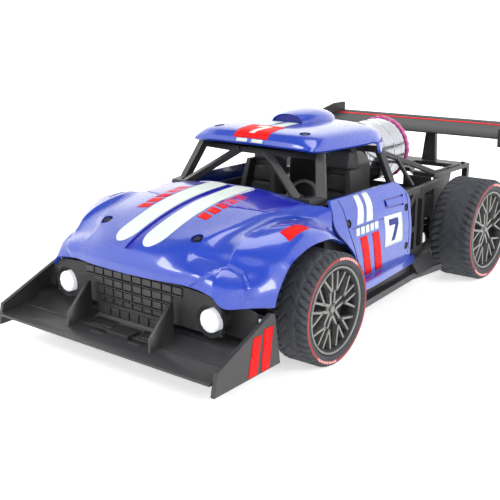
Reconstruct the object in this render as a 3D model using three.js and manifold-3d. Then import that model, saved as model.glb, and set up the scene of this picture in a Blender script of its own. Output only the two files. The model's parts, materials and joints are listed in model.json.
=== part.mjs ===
// A remote control drift car of about 1:12 scale, with a water spray nozzle behind the cab.
// Millimetres, +Z up, nose towards -Y, the car's left side at +X. Heights are drawn from a datum
// between ground and chassis; the finished car is lifted until its tyres stand on z = 0.

import * as THREE from 'three';
import { mergeVertices } from 'three/addons/utils/BufferGeometryUtils.js';
import Module from 'manifold-3d';

const wasm = await Module();
wasm.setup();

// ---- Driving dimensions ----

const NOSE_Y = -172.6;
const TAIL_Y = 172.6;
const GAP = 0.3; // between pieces that sit on each other
const SHELL = 1.8; // thickness of the painted body mouldings
const UNDERSIDE_Z = 7.5; // flat underside of the chassis
const TRAY_TOP_Z = 18;

// An axle's place, and a wheel's radius, width, outer face and rim.
const FRONT = {
  y: -86, z: 23.95, radius: 29.45, width: 22.7, outerX: 85.5, flange: 22.9, barrel: 20.9,
};
const REAR = {
  y: 103.3, z: 28.06, radius: 33.56, width: 28.4, outerX: 84.4, flange: 26, barrel: 24,
};
const LIFT = REAR.radius - REAR.z; // from the ground up to the datum
const HUB_RADIUS = 5;
const AXLE_RADIUS = 2;
const BORE_GAP = 0.35; // radial play of a bore on its pin
const WHEEL_SIDES = 24;

const KINGPIN_X = 65;
const STEER_ARM = 12; // from the kingpin back to the tie rod

const GEAR_MODULE = 1;
const AXLE_GEAR_TEETH = 28;
const PINION_TEETH = 7;
const MOTOR_RADIUS = 10;
const MOTOR_Y = REAR.y - (GEAR_MODULE * (AXLE_GEAR_TEETH + PINION_TEETH)) / 2;

const HEADLIGHT = { x: 50.9, z: 27.6, radius: 6.2 };
const NOZZLE = { z: 76, radius: 21, frontY: 44.8, rearY: 99.3 };

// ---- Materials ----

const finish = (color, roughness, metalness = 0) => (
  new THREE.MeshStandardMaterial({ color, roughness, metalness })
);
const BLUE = finish(0x2444d8, 0.25);
const BLACK = finish(0x2a2a2c, 0.55);
const SEAT_BLACK = finish(0x303032, 0.7);
const RUBBER = finish(0x26272a, 0.9);
const GUNMETAL = finish(0x6f7172, 0.35, 0.6);
const CHROME = finish(0xd8dade, 0.12, 1);
const STEEL = finish(0xb4b6b8, 0.35, 1);
const LENS = finish(0xf6f8ff, 0.1);
const WHITE = finish(0xf0f0ee, 0.45);
const MAGENTA = finish(0xd0389c, 0.3);
const NYLON = finish(0xe4e2d8, 0.5);
const BOARD_GREEN = finish(0x1f6b3a, 0.5);
const BATTERY_YELLOW = finish(0xd9b23a, 0.4);

// ---- Solids ----

// Merges a geometry's shared vertices and drops triangles with no area, which leaves a closed body.
function closed(geometry) {
  const bare = geometry.clone();
  bare.deleteAttribute('normal');
  bare.deleteAttribute('uv');
  const merged = mergeVertices(bare, 1e-4);
  const kept = [];
  const index = merged.index.array;
  for (let i = 0; i < index.length; i += 3) {
    const [a, b, c] = index.slice(i, i + 3);
    if (a !== b && b !== c && c !== a) kept.push(a, b, c);
  }
  merged.setIndex(kept);
  return merged;
}

function toManifold(geometry) {
  return new wasm.Manifold(new wasm.Mesh({
    numProp: 3,
    vertProperties: Float32Array.from(geometry.attributes.position.array),
    triVerts: Uint32Array.from(geometry.index.array),
  }));
}

function fromManifold(manifold) {
  const { vertProperties, triVerts } = manifold.getMesh();
  const geometry = new THREE.BufferGeometry();
  geometry.setAttribute('position', new THREE.BufferAttribute(vertProperties, 3));
  geometry.setIndex(new THREE.BufferAttribute(triVerts, 1));
  return geometry;
}

function join(...parts) {
  return fromManifold(parts.map(toManifold).reduce((whole, part) => whole.add(part)));
}

function cut(body, ...tools) {
  return fromManifold(
    tools.map(toManifold).reduce((rest, tool) => rest.subtract(tool), toManifold(body)),
  );
}

function mirrored(geometry) {
  const copy = geometry.clone().scale(-1, 1, 1);
  const index = Array.from(copy.index.array);
  for (let i = 0; i < index.length; i += 3) {
    [index[i], index[i + 1]] = [index[i + 1], index[i]];
  }
  copy.setIndex(index);
  return copy;
}

const bothSides = (geometry) => join(geometry, mirrored(geometry));

function block([x0, x1], [y0, y1], [z0, z1]) {
  const box = new THREE.BoxGeometry(x1 - x0, y1 - y0, z1 - z0);
  return closed(box.translate((x0 + x1) / 2, (y0 + y1) / 2, (z0 + z1) / 2));
}

// Turns a geometry whose length runs along +Y, centred on the origin, to run between two points.
function between(geometry, from, to) {
  const start = new THREE.Vector3(...from);
  const end = new THREE.Vector3(...to);
  const turn = new THREE.Quaternion().setFromUnitVectors(
    new THREE.Vector3(0, 1, 0),
    end.clone().sub(start).normalize(),
  );
  const middle = start.add(end).multiplyScalar(0.5);
  return closed(geometry.applyQuaternion(turn).translate(middle.x, middle.y, middle.z));
}

const distance = (from, to) => Math.hypot(...from.map((value, axis) => to[axis] - value));

function rod(radius, from, to, sides = 16) {
  return between(new THREE.CylinderGeometry(radius, radius, distance(from, to), sides), from, to);
}

function bar(from, to, width, depth = width) {
  return between(new THREE.BoxGeometry(width, distance(from, to), depth), from, to);
}

function circle(radius, sides, [cx, cy] = [0, 0]) {
  return Array.from({ length: sides }, (_, i) => {
    const angle = (i / sides) * 2 * Math.PI;
    return [cx + radius * Math.cos(angle), cy + radius * Math.sin(angle)];
  });
}

function prism(outline, z0, z1) {
  const shape = new THREE.Shape(outline.map(([a, b]) => new THREE.Vector2(a, b)));
  const geometry = new THREE.ExtrudeGeometry(shape, { depth: z1 - z0, bevelEnabled: false });
  return closed(geometry.translate(0, 0, z0));
}

// An outline in (x, y), from z0 up to z1, with windows right through it.
function slab(outline, [z0, z1], windows = []) {
  const plate = prism(outline, z0, z1);
  if (!windows.length) return plate;
  return cut(plate, ...windows.map((window) => prism(window, z0 - 1, z1 + 1)));
}

// An outline in (y, z), from x0 to x1.
function sidePlate(outline, levels, windows = []) {
  const swap = new THREE.Matrix4().set(0, 0, 1, 0, 1, 0, 0, 0, 0, 1, 0, 0, 0, 0, 0, 1);
  return slab(outline, levels, windows).applyMatrix4(swap);
}

// An outline in (x, z), from y0 to y1.
function crossPlate(outline, [y0, y1], windows = []) {
  return slab(outline, [-y1, -y0], windows).rotateX(Math.PI / 2);
}

// A profile of [place along the axis, radius], turned about the Y axis.
function turnedAboutY(profile, sides) {
  const points = profile.map(([along, radius]) => new THREE.Vector2(radius, along));
  return closed(new THREE.LatheGeometry(points, sides));
}

const turnedAboutX = (profile, sides) => turnedAboutY(profile, sides).rotateZ(-Math.PI / 2);
const turnedAboutZ = (profile, sides) => turnedAboutY(profile, sides).rotateX(Math.PI / 2);

// A closed ring profile, which ends where it starts.
const ring = (profile) => [...profile, profile[0]];

// A panel of even thickness through rows of points. Rows run from -X to +X (or from the front back
// on an upright panel) and follow each other so that the outside faces the viewer.
function panel(rows, [across, along], inwards) {
  const smooth = (points) => new THREE.CatmullRomCurve3(points, false, 'catmullrom');
  const rowCurves = rows.map((row) => smooth(row.map((point) => new THREE.Vector3(...point))));
  const surface = (u, v) => smooth(rowCurves.map((curve) => curve.getPoint(u))).getPoint(v);
  const geometry = new THREE.BoxGeometry(1, 1, 1, across, along, 1);
  const position = geometry.attributes.position;
  for (let i = 0; i < position.count; i += 1) {
    const point = surface(position.getX(i) + 0.5, position.getY(i) + 0.5);
    if (position.getZ(i) < 0) point.addScaledVector(inwards(point), SHELL);
    position.setXYZ(i, point.x, point.y, point.z);
  }
  return closed(geometry);
}

const towards = (target) => (point) => new THREE.Vector3(...target).sub(point).normalize();

// Rows given from the centre line out to +X, made whole across the car.
function wholeRows(halfRows) {
  return halfRows.map((half) => [
    ...half.slice(1).reverse().map(([x, y, z]) => [-x, y, z]),
    ...half,
  ]);
}

// A spur gear's outline, with straight-sided teeth and a little backlash.
function gearOutline(teeth, phase) {
  const pitchRadius = (GEAR_MODULE * teeth) / 2;
  const tip = pitchRadius + 0.75 * GEAR_MODULE;
  const root = pitchRadius - 1.15 * GEAR_MODULE;
  const step = (2 * Math.PI) / teeth;
  const corners = [[-0.3, root], [-0.11, tip], [0.11, tip], [0.3, root]];
  return Array.from({ length: teeth }, (_, tooth) => (
    corners.map(([part, radius]) => {
      const angle = (tooth + part + phase) * step;
      return [radius * Math.cos(angle), radius * Math.sin(angle)];
    })
  )).flat();
}

// ---- The car ----

const car = new THREE.Group();

function add(name, material, geometry, parent = car) {
  const mesh = new THREE.Mesh(geometry, material);
  mesh.name = name;
  parent.add(mesh);
  return mesh;
}

function addPair(name, material, leftGeometry) {
  add(`${name}_left`, material, leftGeometry);
  add(`${name}_right`, material, mirrored(leftGeometry));
}

// ---- Chassis ----

const FLOOR = 2.6;
const FLOOR_TOP_Z = UNDERSIDE_Z + FLOOR;
const CABIN_HALF = 58;
const TAIL_HALF = 46;
const BATTERY_BAY = { x: 31, y0: -27, y1: 25 };
const RUNNING_BOARD_TOP_Z = 12;

const trayHalf = (inset) => [
  [30 - inset, -134 + inset], [34 - inset, -126 + inset], [34 - inset, -64 + inset],
  [55 - inset, -52 + inset], [CABIN_HALF - inset, -44 + inset], [CABIN_HALF - inset, 46 - inset],
  [TAIL_HALF - inset, 52 - inset], [TAIL_HALF - inset, 122 - inset], [38 - inset, 130 - inset],
];

function wholeOutline(half) {
  return [...half, ...half.map(([a, b]) => [-a, b]).reverse()];
}

function chassisTray() {
  const pan = slab(wholeOutline(trayHalf(0)), [UNDERSIDE_Z, TRAY_TOP_Z]);
  const inside = slab(wholeOutline(trayHalf(2)), [FLOOR_TOP_Z, TRAY_TOP_Z + 1]);
  const bay = block(
    [-BATTERY_BAY.x - GAP, BATTERY_BAY.x + GAP],
    [BATTERY_BAY.y0 - GAP, BATTERY_BAY.y1 + GAP],
    [UNDERSIDE_Z - 1, FLOOR_TOP_Z + 1],
  );
  const armNotch = block([-40, 40], [FRONT.y - 7, FRONT.y + 7], [FLOOR_TOP_Z, TRAY_TOP_Z + 1]);
  const cradle = block(
    [-5, 17],
    [MOTOR_Y - 8, MOTOR_Y + 8],
    [FLOOR_TOP_Z - 1, REAR.z - MOTOR_RADIUS - GAP],
  );
  return join(cut(pan, inside, bay, armNotch), cradle);
}

function runningBoard() {
  const innerX = CABIN_HALF + GAP;
  const upstand = 19.2; // just under the door's sill
  const outline = [[innerX, -46], [71.5, -40.4], [66.5, 30], [70.5, 62], [innerX, 62]];
  const inner = [[innerX, -44], [65, -40], [62.5, 30], [62.5, 50], [innerX, 50]];
  const wedge = [
    [innerX, RUNNING_BOARD_TOP_Z - 1], [69, RUNNING_BOARD_TOP_Z - 1], [62.6, upstand],
    [innerX, upstand],
  ];
  return join(
    slab(outline, [UNDERSIDE_Z + 0.5, RUNNING_BOARD_TOP_Z]),
    slab(inner, [RUNNING_BOARD_TOP_Z - 1, upstand]),
    crossPlate(wedge, [33, 60]),
  );
}

add('chassis_tray', BLACK, chassisTray());
addPair('running_board', BLACK, runningBoard());
add('rear_bumper', BLACK, crossPlate(
  [[-34, 14], [34, 14], [38, 20], [38, 28], [32, 32], [-32, 32], [-38, 28], [-38, 20]],
  [130 + GAP, 133.5],
  [[[-28, 19], [-8, 19], [-8, 27], [-28, 27]], [[8, 19], [28, 19], [28, 27], [8, 27]]],
));

// ---- Nose ----

const ENDPLATE_X = 74.7;

function frontSplitter() {
  const floor = [
    [NOSE_Y, 10.2], [NOSE_Y, 11.6], [-158, 13.2], [-152, 14], [-146, 17], [-134.3, 18.3],
    [-134.3, 16], [-146, 14.4], [-156, 11.2],
  ];
  const step = [
    [-157, 12], [-155, 17], [-150.5, 18.5], [-149, 22.5], [-145.4, 23.5], [-145.4, 16],
    [-150, 12.8],
  ];
  const fin = [
    [-164.2, 11.9], [-163.4, 19.3], [-149.5, 33], [-147.5, 33], [-147.5, 16], [-156, 11.9],
  ];
  const blade = sidePlate(fin, [28.4, 30.2]);
  return join(
    sidePlate(floor, [-ENDPLATE_X + GAP, ENDPLATE_X - GAP]),
    sidePlate(step, [-24, 24]),
    bothSides(blade),
  );
}

function splitterEndplate() {
  const outline = [
    [NOSE_Y, 5.2], [-170.1, 16.4], [-130.8, 33.2], [-128, 32.4], [-123.6, 6.2],
  ];
  return sidePlate(outline, [ENDPLATE_X, ENDPLATE_X + 2.5]);
}

function frontGrille() {
  const plate = crossPlate(
    wholeOutline([[36, 21], [58.5, 21], [58.5, 34.2], [54.5, 38.5], [50, 40.4], [34, 41.5]]),
    [-145, -142.6],
  );
  const { x, z, radius } = HEADLIGHT;
  const socket = rod(radius + 2.6, [x, -146.5, z], [x, -136, z]);
  const hole = rod(radius + GAP, [x, -147, z], [x, -138, z]);
  return cut(join(plate, bothSides(socket)), hole, mirrored(hole));
}

function headlightLens() {
  const { x, z, radius } = HEADLIGHT;
  const dome = [
    [-149, 0], [-148.7, 0.5 * radius], [-147.8, 0.8 * radius], [-146.4, radius], [-139, radius],
    [-139, 0],
  ];
  return turnedAboutY(dome, 16).translate(x, 0, z);
}

add('front_splitter', BLACK, frontSplitter());
addPair('splitter_endplate', BLACK, splitterEndplate());
add('front_grille', BLACK, frontGrille());
add('front_bumper', BLACK, join(
  block([-38, 38], [-142, -138], [24, 38]),
  block([-28, 28], [-138.5, -134.4], [20.6, 32]),
));
addPair('headlight_lens', LENS, headlightLens());

// ---- Body shells ----

// Points out from the centre line: middle, stripe edge, shoulder, valley, fender crest, fender
// bulge, fender side, and the lip of the wheel arch.
const HOOD_ROWS = [
  [[0, -151.5, 43.5], [20, -151, 43.8], [38, -149, 44], [47, -148.6, 43.5],
    [55, -148, 41.5], [60.8, -146.1, 36.2], [69, -137, 35.7], [75, -125.5, 34.2]],
  [[0, -151, 49], [20, -150, 49.5], [36, -147.5, 50], [45, -146.5, 50],
    [54, -144, 49], [62, -139, 45], [69.5, -131, 43], [75, -123.5, 39.5]],
  [[0, -147, 55.5], [20, -145, 56], [33.5, -139, 57.5], [44, -137, 55],
    [54, -134.1, 54.1], [62, -129, 51], [69, -124, 49.5], [75, -119.5, 45.5]],
  [[0, -139, 60], [20, -138, 60], [34.5, -132.5, 62], [44, -131, 59.5],
    [54, -128.5, 59.6], [62.5, -123, 57.5], [70, -117.5, 55], [75, -113.5, 51.9]],
  [[0, -128, 64.3], [20, -127.5, 64], [37.5, -125, 64.6], [45.5, -123, 62.5],
    [54, -120, 63.9], [63, -114.5, 62.5], [70.5, -109.5, 59.5], [75, -106.5, 55.2]],
  [[0, -114, 68.5], [20, -114, 68.3], [40.3, -112, 67], [47, -110.5, 65.2],
    [54, -108, 66.9], [63, -104, 66], [70.8, -100, 62.5], [75, -97, 57.7]],
  [[0, -98, 71.8], [20, -98, 71.7], [42.3, -96, 69.3], [49, -95.5, 67.3],
    [55, -94, 68.1], [63.5, -91.5, 66.5], [71, -88.5, 63], [74.8, -86, 58.3]],
  [[0, -82, 73.6], [20, -82, 73.6], [45.8, -80, 69.9], [52.5, -79, 67.5],
    [57.5, -79.5, 66.2], [64.5, -78, 63.8], [70.8, -75.5, 60.5], [73, -73, 56.6]],
  [[0, -64, 74.6], [20, -64, 74.4], [52, -63.6, 69.9], [59.6, -56.6, 67.6],
    [62.9, -58.9, 61.8], [64, -60, 57.6], [65, -56.8, 53], [66.5, -51, 48.6]],
];
const HOOD_SCREWS = [[32, -131.4], [41.2, -77.1]];
const ROOF_SCREWS = [[31.1, -39], [31.3, 21.5]];
const SCREW_RECESS = 2.75;

function screwRecesses(places, [z0, z1]) {
  return places.flatMap(([x, y]) => [x, -x].map((side) => (
    rod(SCREW_RECESS, [side, y, z0], [side, y, z1], 12)
  )));
}

function hoodShell() {
  const shell = panel(wholeRows(HOOD_ROWS), [24, 14], towards([0, -88, 8]));
  return cut(shell, ...screwRecesses(HOOD_SCREWS, [54, 82]));
}

// Points out from the centre line to the lower edge of the roof's side.
const ROOF_ROWS = [
  [[0, -50.5, 96.8], [15, -50.4, 96.7], [30, -50.2, 96.4], [38, -49.9, 96],
    [42, -49.6, 95.8], [43.5, -48.5, 95.6]],
  [[0, -48.5, 100], [15, -48.4, 99.9], [30, -48, 99.6], [38.5, -47, 98.8],
    [42.8, -46, 97.5], [44.3, -45, 95.3]],
  [[0, -43, 103.2], [15, -43, 103.1], [31, -42, 102.8], [39.5, -40, 101.5],
    [43.5, -39, 98.8], [45, -38, 95]],
  [[0, -25, 104.6], [15, -25, 104.5], [31, -25, 104], [40.5, -24, 102.3],
    [44.5, -23, 99], [46, -22, 94.8]],
  [[0, 0, 105], [15, 0, 104.9], [31, 0, 104.2], [41, 0, 102.2], [45.3, 0, 98.5], [46.8, 0, 94.5]],
  [[0, 20, 104.4], [15, 20, 104.2], [31.3, 20, 103.2], [41, 18, 101],
    [45.5, 16, 97], [47, 14, 94]],
  [[0, 30, 102], [15, 30, 101.8], [31, 29.5, 100.6], [40, 27.5, 98],
    [44.5, 24, 93], [46, 20, 87.5]],
  [[0, 34.5, 97.5], [15, 34.3, 97.3], [30, 34, 96], [38, 33, 94], [41.5, 31, 90], [43, 28, 86.5]],
];
const SCOOP = {
  frontY: -13, middleY: 6, halfLength: 29, halfWidth: 15, baseZ: 104, height: 8,
};

function roofScoop() {
  const { frontY, middleY, halfLength, halfWidth, baseZ, height } = SCOOP;
  const blister = new THREE.SphereGeometry(1, 14, 8);
  blister.rotateX(Math.PI / 2).scale(halfWidth, halfLength, height).translate(0, middleY, baseZ);
  return cut(
    closed(blister),
    block([-20, 20], [-40, frontY], [80, 120]),
    block([-20, 20], [-40, 60], [80, baseZ - 0.5]),
  );
}

function roofPanel() {
  const shell = panel(wholeRows(ROOF_ROWS), [18, 10], towards([0, -8, 50]));
  return cut(join(shell, roofScoop()), ...screwRecesses(ROOF_SCREWS, [98, 110]));
}

// The door's outline at each height: its front and rear edge, each as [x, y].
const DOOR_LEVELS = [
  { z: 23.5, front: [66.5, -34], rear: [65, 27] },
  { z: 32, front: [66.8, -36.5], rear: [65.3, 27] },
  { z: 40, front: [67, -41], rear: [65.4, 27] },
  { z: 47, front: [66.8, -48], rear: [65, 27] },
  { z: 54, front: [65.4, -55.2], rear: [64, 27] },
  { z: 60, front: [63.9, -58.3], rear: [63.2, 27] },
  { z: 65, front: [61.6, -56.2], rear: [61.5, 24] },
  { z: 70.4, front: [56.2, -51], rear: [57, 20] },
];
const SILL = [[64, -41], [73.5, -41.5], [73, -30], [70.5, 0], [68.2, 27], [66, 31], [64, 31]];

function doorPanel() {
  const rows = DOOR_LEVELS.map(({ z, front, rear }) => (
    [0, 0.33, 0.67, 1].map((part) => [
      front[0] + part * (rear[0] - front[0]),
      front[1] + part * (rear[1] - front[1]),
      z,
    ])
  ));
  const skin = panel(rows, [5, 9], () => new THREE.Vector3(-1, 0, 0));
  return join(skin, slab(SILL, [19.5, 24.5]));
}

add('hood_shell', BLUE, hoodShell());
add('roof_panel', BLUE, roofPanel());
addPair('door_panel', BLUE, doorPanel());

// ---- Cab ----

const TUB = { x: 56, y0: -55, y1: 16, z0: 25, z1: 62, wall: 1.8 };

function cabinTub() {
  const { x, y0, y1, z0, z1, wall } = TUB;
  return cut(
    block([-x, x], [y0, y1], [z0, z1]),
    block([-x + wall, x - wall], [y0 + wall, y1 - wall], [z0 + wall, z1 + 1]),
  );
}

function windscreenFrame() {
  const sill = bar([-49, -60, 70.2], [49, -60, 70.2], 3.4, 3.4);
  const header = bar([-40, -44.5, 92], [40, -44.5, 92], 4, 3.6);
  const pillar = bar([50.5, -50, 69.8], [40, -44.5, 93], 5, 4);
  const foot = bar([47.6, -61, 70.2], [50.5, -49, 70.2], 4.6, 3.4);
  const brace = bar([41, -59.6, 70.4], [9.5, -46, 92.2], 4, 3.4);
  return join(sill, header, bothSides(join(pillar, foot, brace)));
}

function rearCage() {
  const pillar = bar([52, 22.4, 65.5], [37.6, 21.4, 88], 6, 4);
  const foot = bar([49, 23.4, 65], [58, 23.4, 65], 5, 3.4);
  const crossbar = bar([-40, 22, 88], [40, 22, 88], 4, 4);
  const stay = bar([37, 23, 88], [42, 94.5, 67.6], 4, 6);
  return join(crossbar, bothSides(join(pillar, foot, stay)));
}

const SEAT = { inner: 13, outer: 43, bolster: 4.2 };

function seat() {
  const shell = [
    [-33, 27.1], [-33, 36], [-26, 38.5], [-6, 36.5], [-1, 42], [3, 80], [5, 90], [11, 90], [12, 80],
    [9, 40], [8, 27.1],
  ];
  const bolster = [
    [-33, 27.1], [-33, 39], [-24, 43], [-8, 44], [-6, 60], [-3, 78], [11, 78], [9, 40],
    [8, 27.1],
  ];
  const { inner, outer, bolster: thick } = SEAT;
  return join(
    sidePlate(shell, [inner + thick - 0.5, outer - thick + 0.5]),
    sidePlate(bolster, [inner, inner + thick]),
    sidePlate(bolster, [outer - thick, outer]),
  );
}

const STEERING_WHEEL = { place: [28, -36.5, 66], radius: 10, tilt: -0.45 };

function steeringWheel() {
  const { place, radius, tilt } = STEERING_WHEEL;
  const grip = [
    [-1, radius - 1], [-1.2, radius], [-1, radius + 1], [1, radius + 1], [1.2, radius],
    [1, radius - 1],
  ];
  const rim = turnedAboutY(ring(grip), 16);
  const spoke = block([-radius, radius], [-0.7, 0.7], [-1.2, 1.2]);
  const drop = block([-1.2, 1.2], [-0.7, 0.7], [-radius, 0]);
  const column = rod(1.8, [0, 0, 0], [0, -4.6, 0], 10);
  return join(rim, spoke, drop, column).rotateX(tilt).translate(...place);
}

function sideTruss() {
  const outline = [[21.8, 20.4], [57, 20.4], [57, 57], [52, 62.5], [21.8, 62.5]];
  const windows = [
    [[25, 59], [42, 59], [25, 43]],
    [[45, 56.5], [45, 38], [27, 38]],
    [[25, 34.5], [25, 23.5], [45, 23.5], [45, 34.5]],
    [[48, 56], [48, 24.2], [54, 24.2], [54, 54]],
  ];
  const rail = bar([57, 51, 59.8], [50, 93, 58.6], 4, 4.6);
  return join(sidePlate(outline, [55.2, 58.2], windows), rail);
}

add('cabin_tub', BLACK, cabinTub());
add('dashboard', BLACK, slab(
  wholeOutline([[49, -62.4], [53, -52], [53, -46], [49, -42]]),
  [TUB.z1 + GAP, 68],
));
add('windscreen_frame', BLACK, windscreenFrame());
add('rear_cage', BLACK, rearCage());
addPair('seat', SEAT_BLACK, seat());
add('steering_wheel', BLACK, steeringWheel());
addPair('side_truss', BLACK, sideTruss());

// ---- Tail ----

const DECK = { z0: 60.5, z1: 63.3, half: 46, rearY: 150 };

function rearDeck() {
  const { z0, z1, half, rearY } = DECK;
  const outline = [
    [half, 94], [half, rearY], [-half, rearY], [-half, 94], [-30, 94], [-21, 105], [21, 105], [30, 94],
  ];
  const windows = [1, -1].map((side) => (
    [[28, 100], [40, 98], [40, 136], [10, 136], [10, 110], [23, 110]].map(([x, y]) => [side * x, y])
  ));
  const plate = slab(outline, [z0, z1], windows);
  const leg = join(
    bar([half - 2, rearY - 2, z1 - 0.5], [half - 2, rearY - 2, 46], 4, 4),
    bar([half - 2, rearY - 2, 47], [half - 4, 124, 20.6], 4, 4),
  );
  return join(plate, bothSides(leg));
}

function rearSidePlate() {
  const top = DECK.z0 - GAP;
  const foot = TRAY_TOP_Z + GAP;
  const outline = [[93, foot], [115, foot], [115, 40], [122, top], [100, top], [93, 42]];
  const bearing = circle(AXLE_RADIUS + BORE_GAP, 16, [REAR.y, REAR.z]);
  return sidePlate(outline, [42.4, 45.2], [bearing]);
}

function rearWing() {
  const wing = [
    [126.6, 85.4], [140, 85.6], [158, 87.6], [172.2, 90.8], [172.2, 91.8], [158, 90], [140, 88.6],
    [130, 87.6], [126.6, 86.4],
  ];
  const endplate = [[126.4, 80], [TAIL_Y, 82.4], [TAIL_Y, 98], [158, 98], [126.4, 92]];
  return join(sidePlate(wing, [-75.5, 75.5]), bothSides(sidePlate(endplate, [75, 77.2])));
}

add('rear_deck', BLACK, rearDeck());
addPair('rear_side_plate', BLACK, rearSidePlate());
addPair('wing_pylon', BLACK, crossPlate(
  [[12.5, DECK.z1 + GAP], [23.5, DECK.z1 + GAP], [22.5, 85.2], [15, 85.2]],
  [139.5, 143.5],
));
add('rear_wing', BLACK, rearWing());

// ---- Spray unit ----

const TANK = { x: 25, y0: 24.6, y1: NOZZLE.frontY - GAP, z0: 46, z1: 82 };
const FILLER = { y: 38, radius: 3.6, depth: 6 };

function sprayTank() {
  const { x, y0, y1, z0, z1 } = TANK;
  const outline = [
    [-x, z0 + 6], [-x + 6, z0], [x - 6, z0], [x, z0 + 6], [x, z1 - 6], [x - 6, z1],
    [-x + 6, z1], [-x, z1 - 6],
  ];
  const filler = rod(
    FILLER.radius + BORE_GAP,
    [0, FILLER.y, z1 - FILLER.depth],
    [0, FILLER.y, z1 + 1],
  );
  return cut(crossPlate(outline, [y0, y1]), filler);
}

function tankPlug() {
  const top = TANK.z1 + GAP;
  const bottom = TANK.z1 - FILLER.depth + 0.5;
  const profile = [
    [bottom, 0], [bottom, FILLER.radius], [top, FILLER.radius], [top, 6], [top + 2.6, 6],
    [top + 3.4, 5], [top + 3.4, 0],
  ];
  return turnedAboutZ(profile, 20).translate(0, FILLER.y, 0);
}

function sprayNozzle() {
  const { z, radius, frontY, rearY } = NOZZLE;
  const profile = [
    [frontY, 0], [frontY, 9], [52, 9], [56, radius - 4], [66, radius - 1], [80, radius - 0.5],
    [rearY - 2, radius], [rearY, radius], [rearY, radius - 2], [80, radius - 2.6],
    [66, radius - 3.4], [60, 12], [60, 0],
  ];
  return turnedAboutY(profile, 28).translate(0, 0, z);
}

function nozzleLightRing() {
  const teeth = 24;
  const outer = Array.from({ length: 2 * teeth }, (_, i) => {
    const angle = (i / teeth) * Math.PI;
    const radius = NOZZLE.radius + (i % 2 ? 0.2 : 1.6);
    return [radius * Math.cos(angle), radius * Math.sin(angle)];
  });
  const mouth = circle(NOZZLE.radius - 2.4, 28);
  return crossPlate(outer, [NOZZLE.rearY + GAP, NOZZLE.rearY + 3], [mouth])
    .translate(0, 0, NOZZLE.z);
}

add('spray_tank', BLACK, sprayTank());
add('tank_plug', BLACK, tankPlug());
add('spray_nozzle', CHROME, sprayNozzle());
add('nozzle_light_ring', MAGENTA, nozzleLightRing());

// ---- Front axle and steering ----

const KINGPIN_RADIUS = 1.6;
const ARM = { thick: 2.6, lowerZ: FLOOR_TOP_Z + 0.5, upperZ: 35 };
const STUB_END_X = 79;
const TIE_ROD = { y: FRONT.y + STEER_ARM, z0: 31.2, z1: 33.2 };
const LINK_PIN = 1.1;
const SERVO_Y = FRONT.y + 2 * STEER_ARM;

function frontSubframe() {
  const top = ARM.upperZ + ARM.thick;
  const core = block([-18, 18], [FRONT.y - 7, FRONT.y + 7], [FLOOR_TOP_Z + GAP, top]);
  const endX = KINGPIN_X + 4;
  const outline = [
    [17, FRONT.y - 6], [57, FRONT.y - 4], [endX, FRONT.y - 4], [endX, FRONT.y + 4],
    [57, FRONT.y + 4], [17, FRONT.y + 6],
  ];
  const bore = circle(KINGPIN_RADIUS + BORE_GAP, 14, [KINGPIN_X, FRONT.y]);
  const arm = (z) => slab(outline, [z, z + ARM.thick], [bore]);
  return join(core, bothSides(arm(ARM.lowerZ)), bothSides(arm(ARM.upperZ)));
}

function knuckle() {
  const upright = (radius, z0, z1, y = FRONT.y) => (
    rod(radius, [KINGPIN_X, y, z0], [KINGPIN_X, y, z1])
  );
  const armTop = ARM.lowerZ + ARM.thick;
  const post = upright(4.2, armTop + GAP, ARM.upperZ - GAP);
  const kingpin = upright(KINGPIN_RADIUS, ARM.lowerZ + 0.2, ARM.upperZ + ARM.thick - 0.2);
  const stub = rod(AXLE_RADIUS, [KINGPIN_X, FRONT.y, FRONT.z], [STUB_END_X, FRONT.y, FRONT.z]);
  const steeringArm = block(
    [KINGPIN_X - 2.4, KINGPIN_X + 2.4],
    [FRONT.y, TIE_ROD.y + 2.4],
    [TIE_ROD.z0 - 3.6, TIE_ROD.z0 - 0.4],
  );
  const pin = upright(LINK_PIN, TIE_ROD.z0 - 2, TIE_ROD.z1, TIE_ROD.y);
  return join(post, kingpin, stub, steeringArm, pin);
}

function tieRod() {
  const { y, z0, z1 } = TIE_ROD;
  const end = KINGPIN_X + 3.6;
  const rail = wholeOutline([[end, y - 2.6], [end, y + 2.6], [8, y + 2], [6, y + 4.4]]);
  const middle = [[-6, y - 4.4], [6, y - 4.4], [6, y + 4.4], [-6, y + 4.4]];
  const holes = [KINGPIN_X, -KINGPIN_X].map((x) => rod(2, [x, y, z0 - 1], [x, y, z1 + 1]));
  const slot = block([-1.7, 1.7], [y - 2.6, y + 2.8], [z0 - 1, z1 + 1]);
  return cut(join(slab(rail, [z0, z1]), slab(middle, [z0, z1])), slot, ...holes);
}

const SERVO = { top: 26.4, hornZ: 28.2 };

function steeringServo() {
  const [y0, y1] = [SERVO_Y - 6, SERVO_Y + 6];
  return join(
    block([-16, 8], [y0, y1], [FLOOR_TOP_Z + GAP, SERVO.top]),
    block([-20, 12], [y0, y1], [19.6, 21.6]),
    rod(2.4, [0, SERVO_Y, SERVO.top - 1], [0, SERVO_Y, SERVO.hornZ - GAP], 12),
  );
}

function servoHorn() {
  const outline = [
    [-3.4, SERVO_Y + 2], [-2, SERVO_Y + 3.4], [2, SERVO_Y + 3.4], [3.4, SERVO_Y + 2],
    [2.4, TIE_ROD.y - 1.6], [0, TIE_ROD.y - 2.6], [-2.4, TIE_ROD.y - 1.6],
  ];
  return join(
    slab(outline, [SERVO.hornZ, TIE_ROD.z0 - 0.4]),
    rod(LINK_PIN, [0, TIE_ROD.y, SERVO.hornZ + 1], [0, TIE_ROD.y, TIE_ROD.z1], 12),
  );
}

add('front_subframe', BLACK, frontSubframe());
addPair('knuckle', BLACK, knuckle());
add('tie_rod', STEEL, tieRod());
add('steering_servo', BLACK, steeringServo());
add('servo_horn', NYLON, servoHorn());

// ---- Rear drive ----

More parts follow.
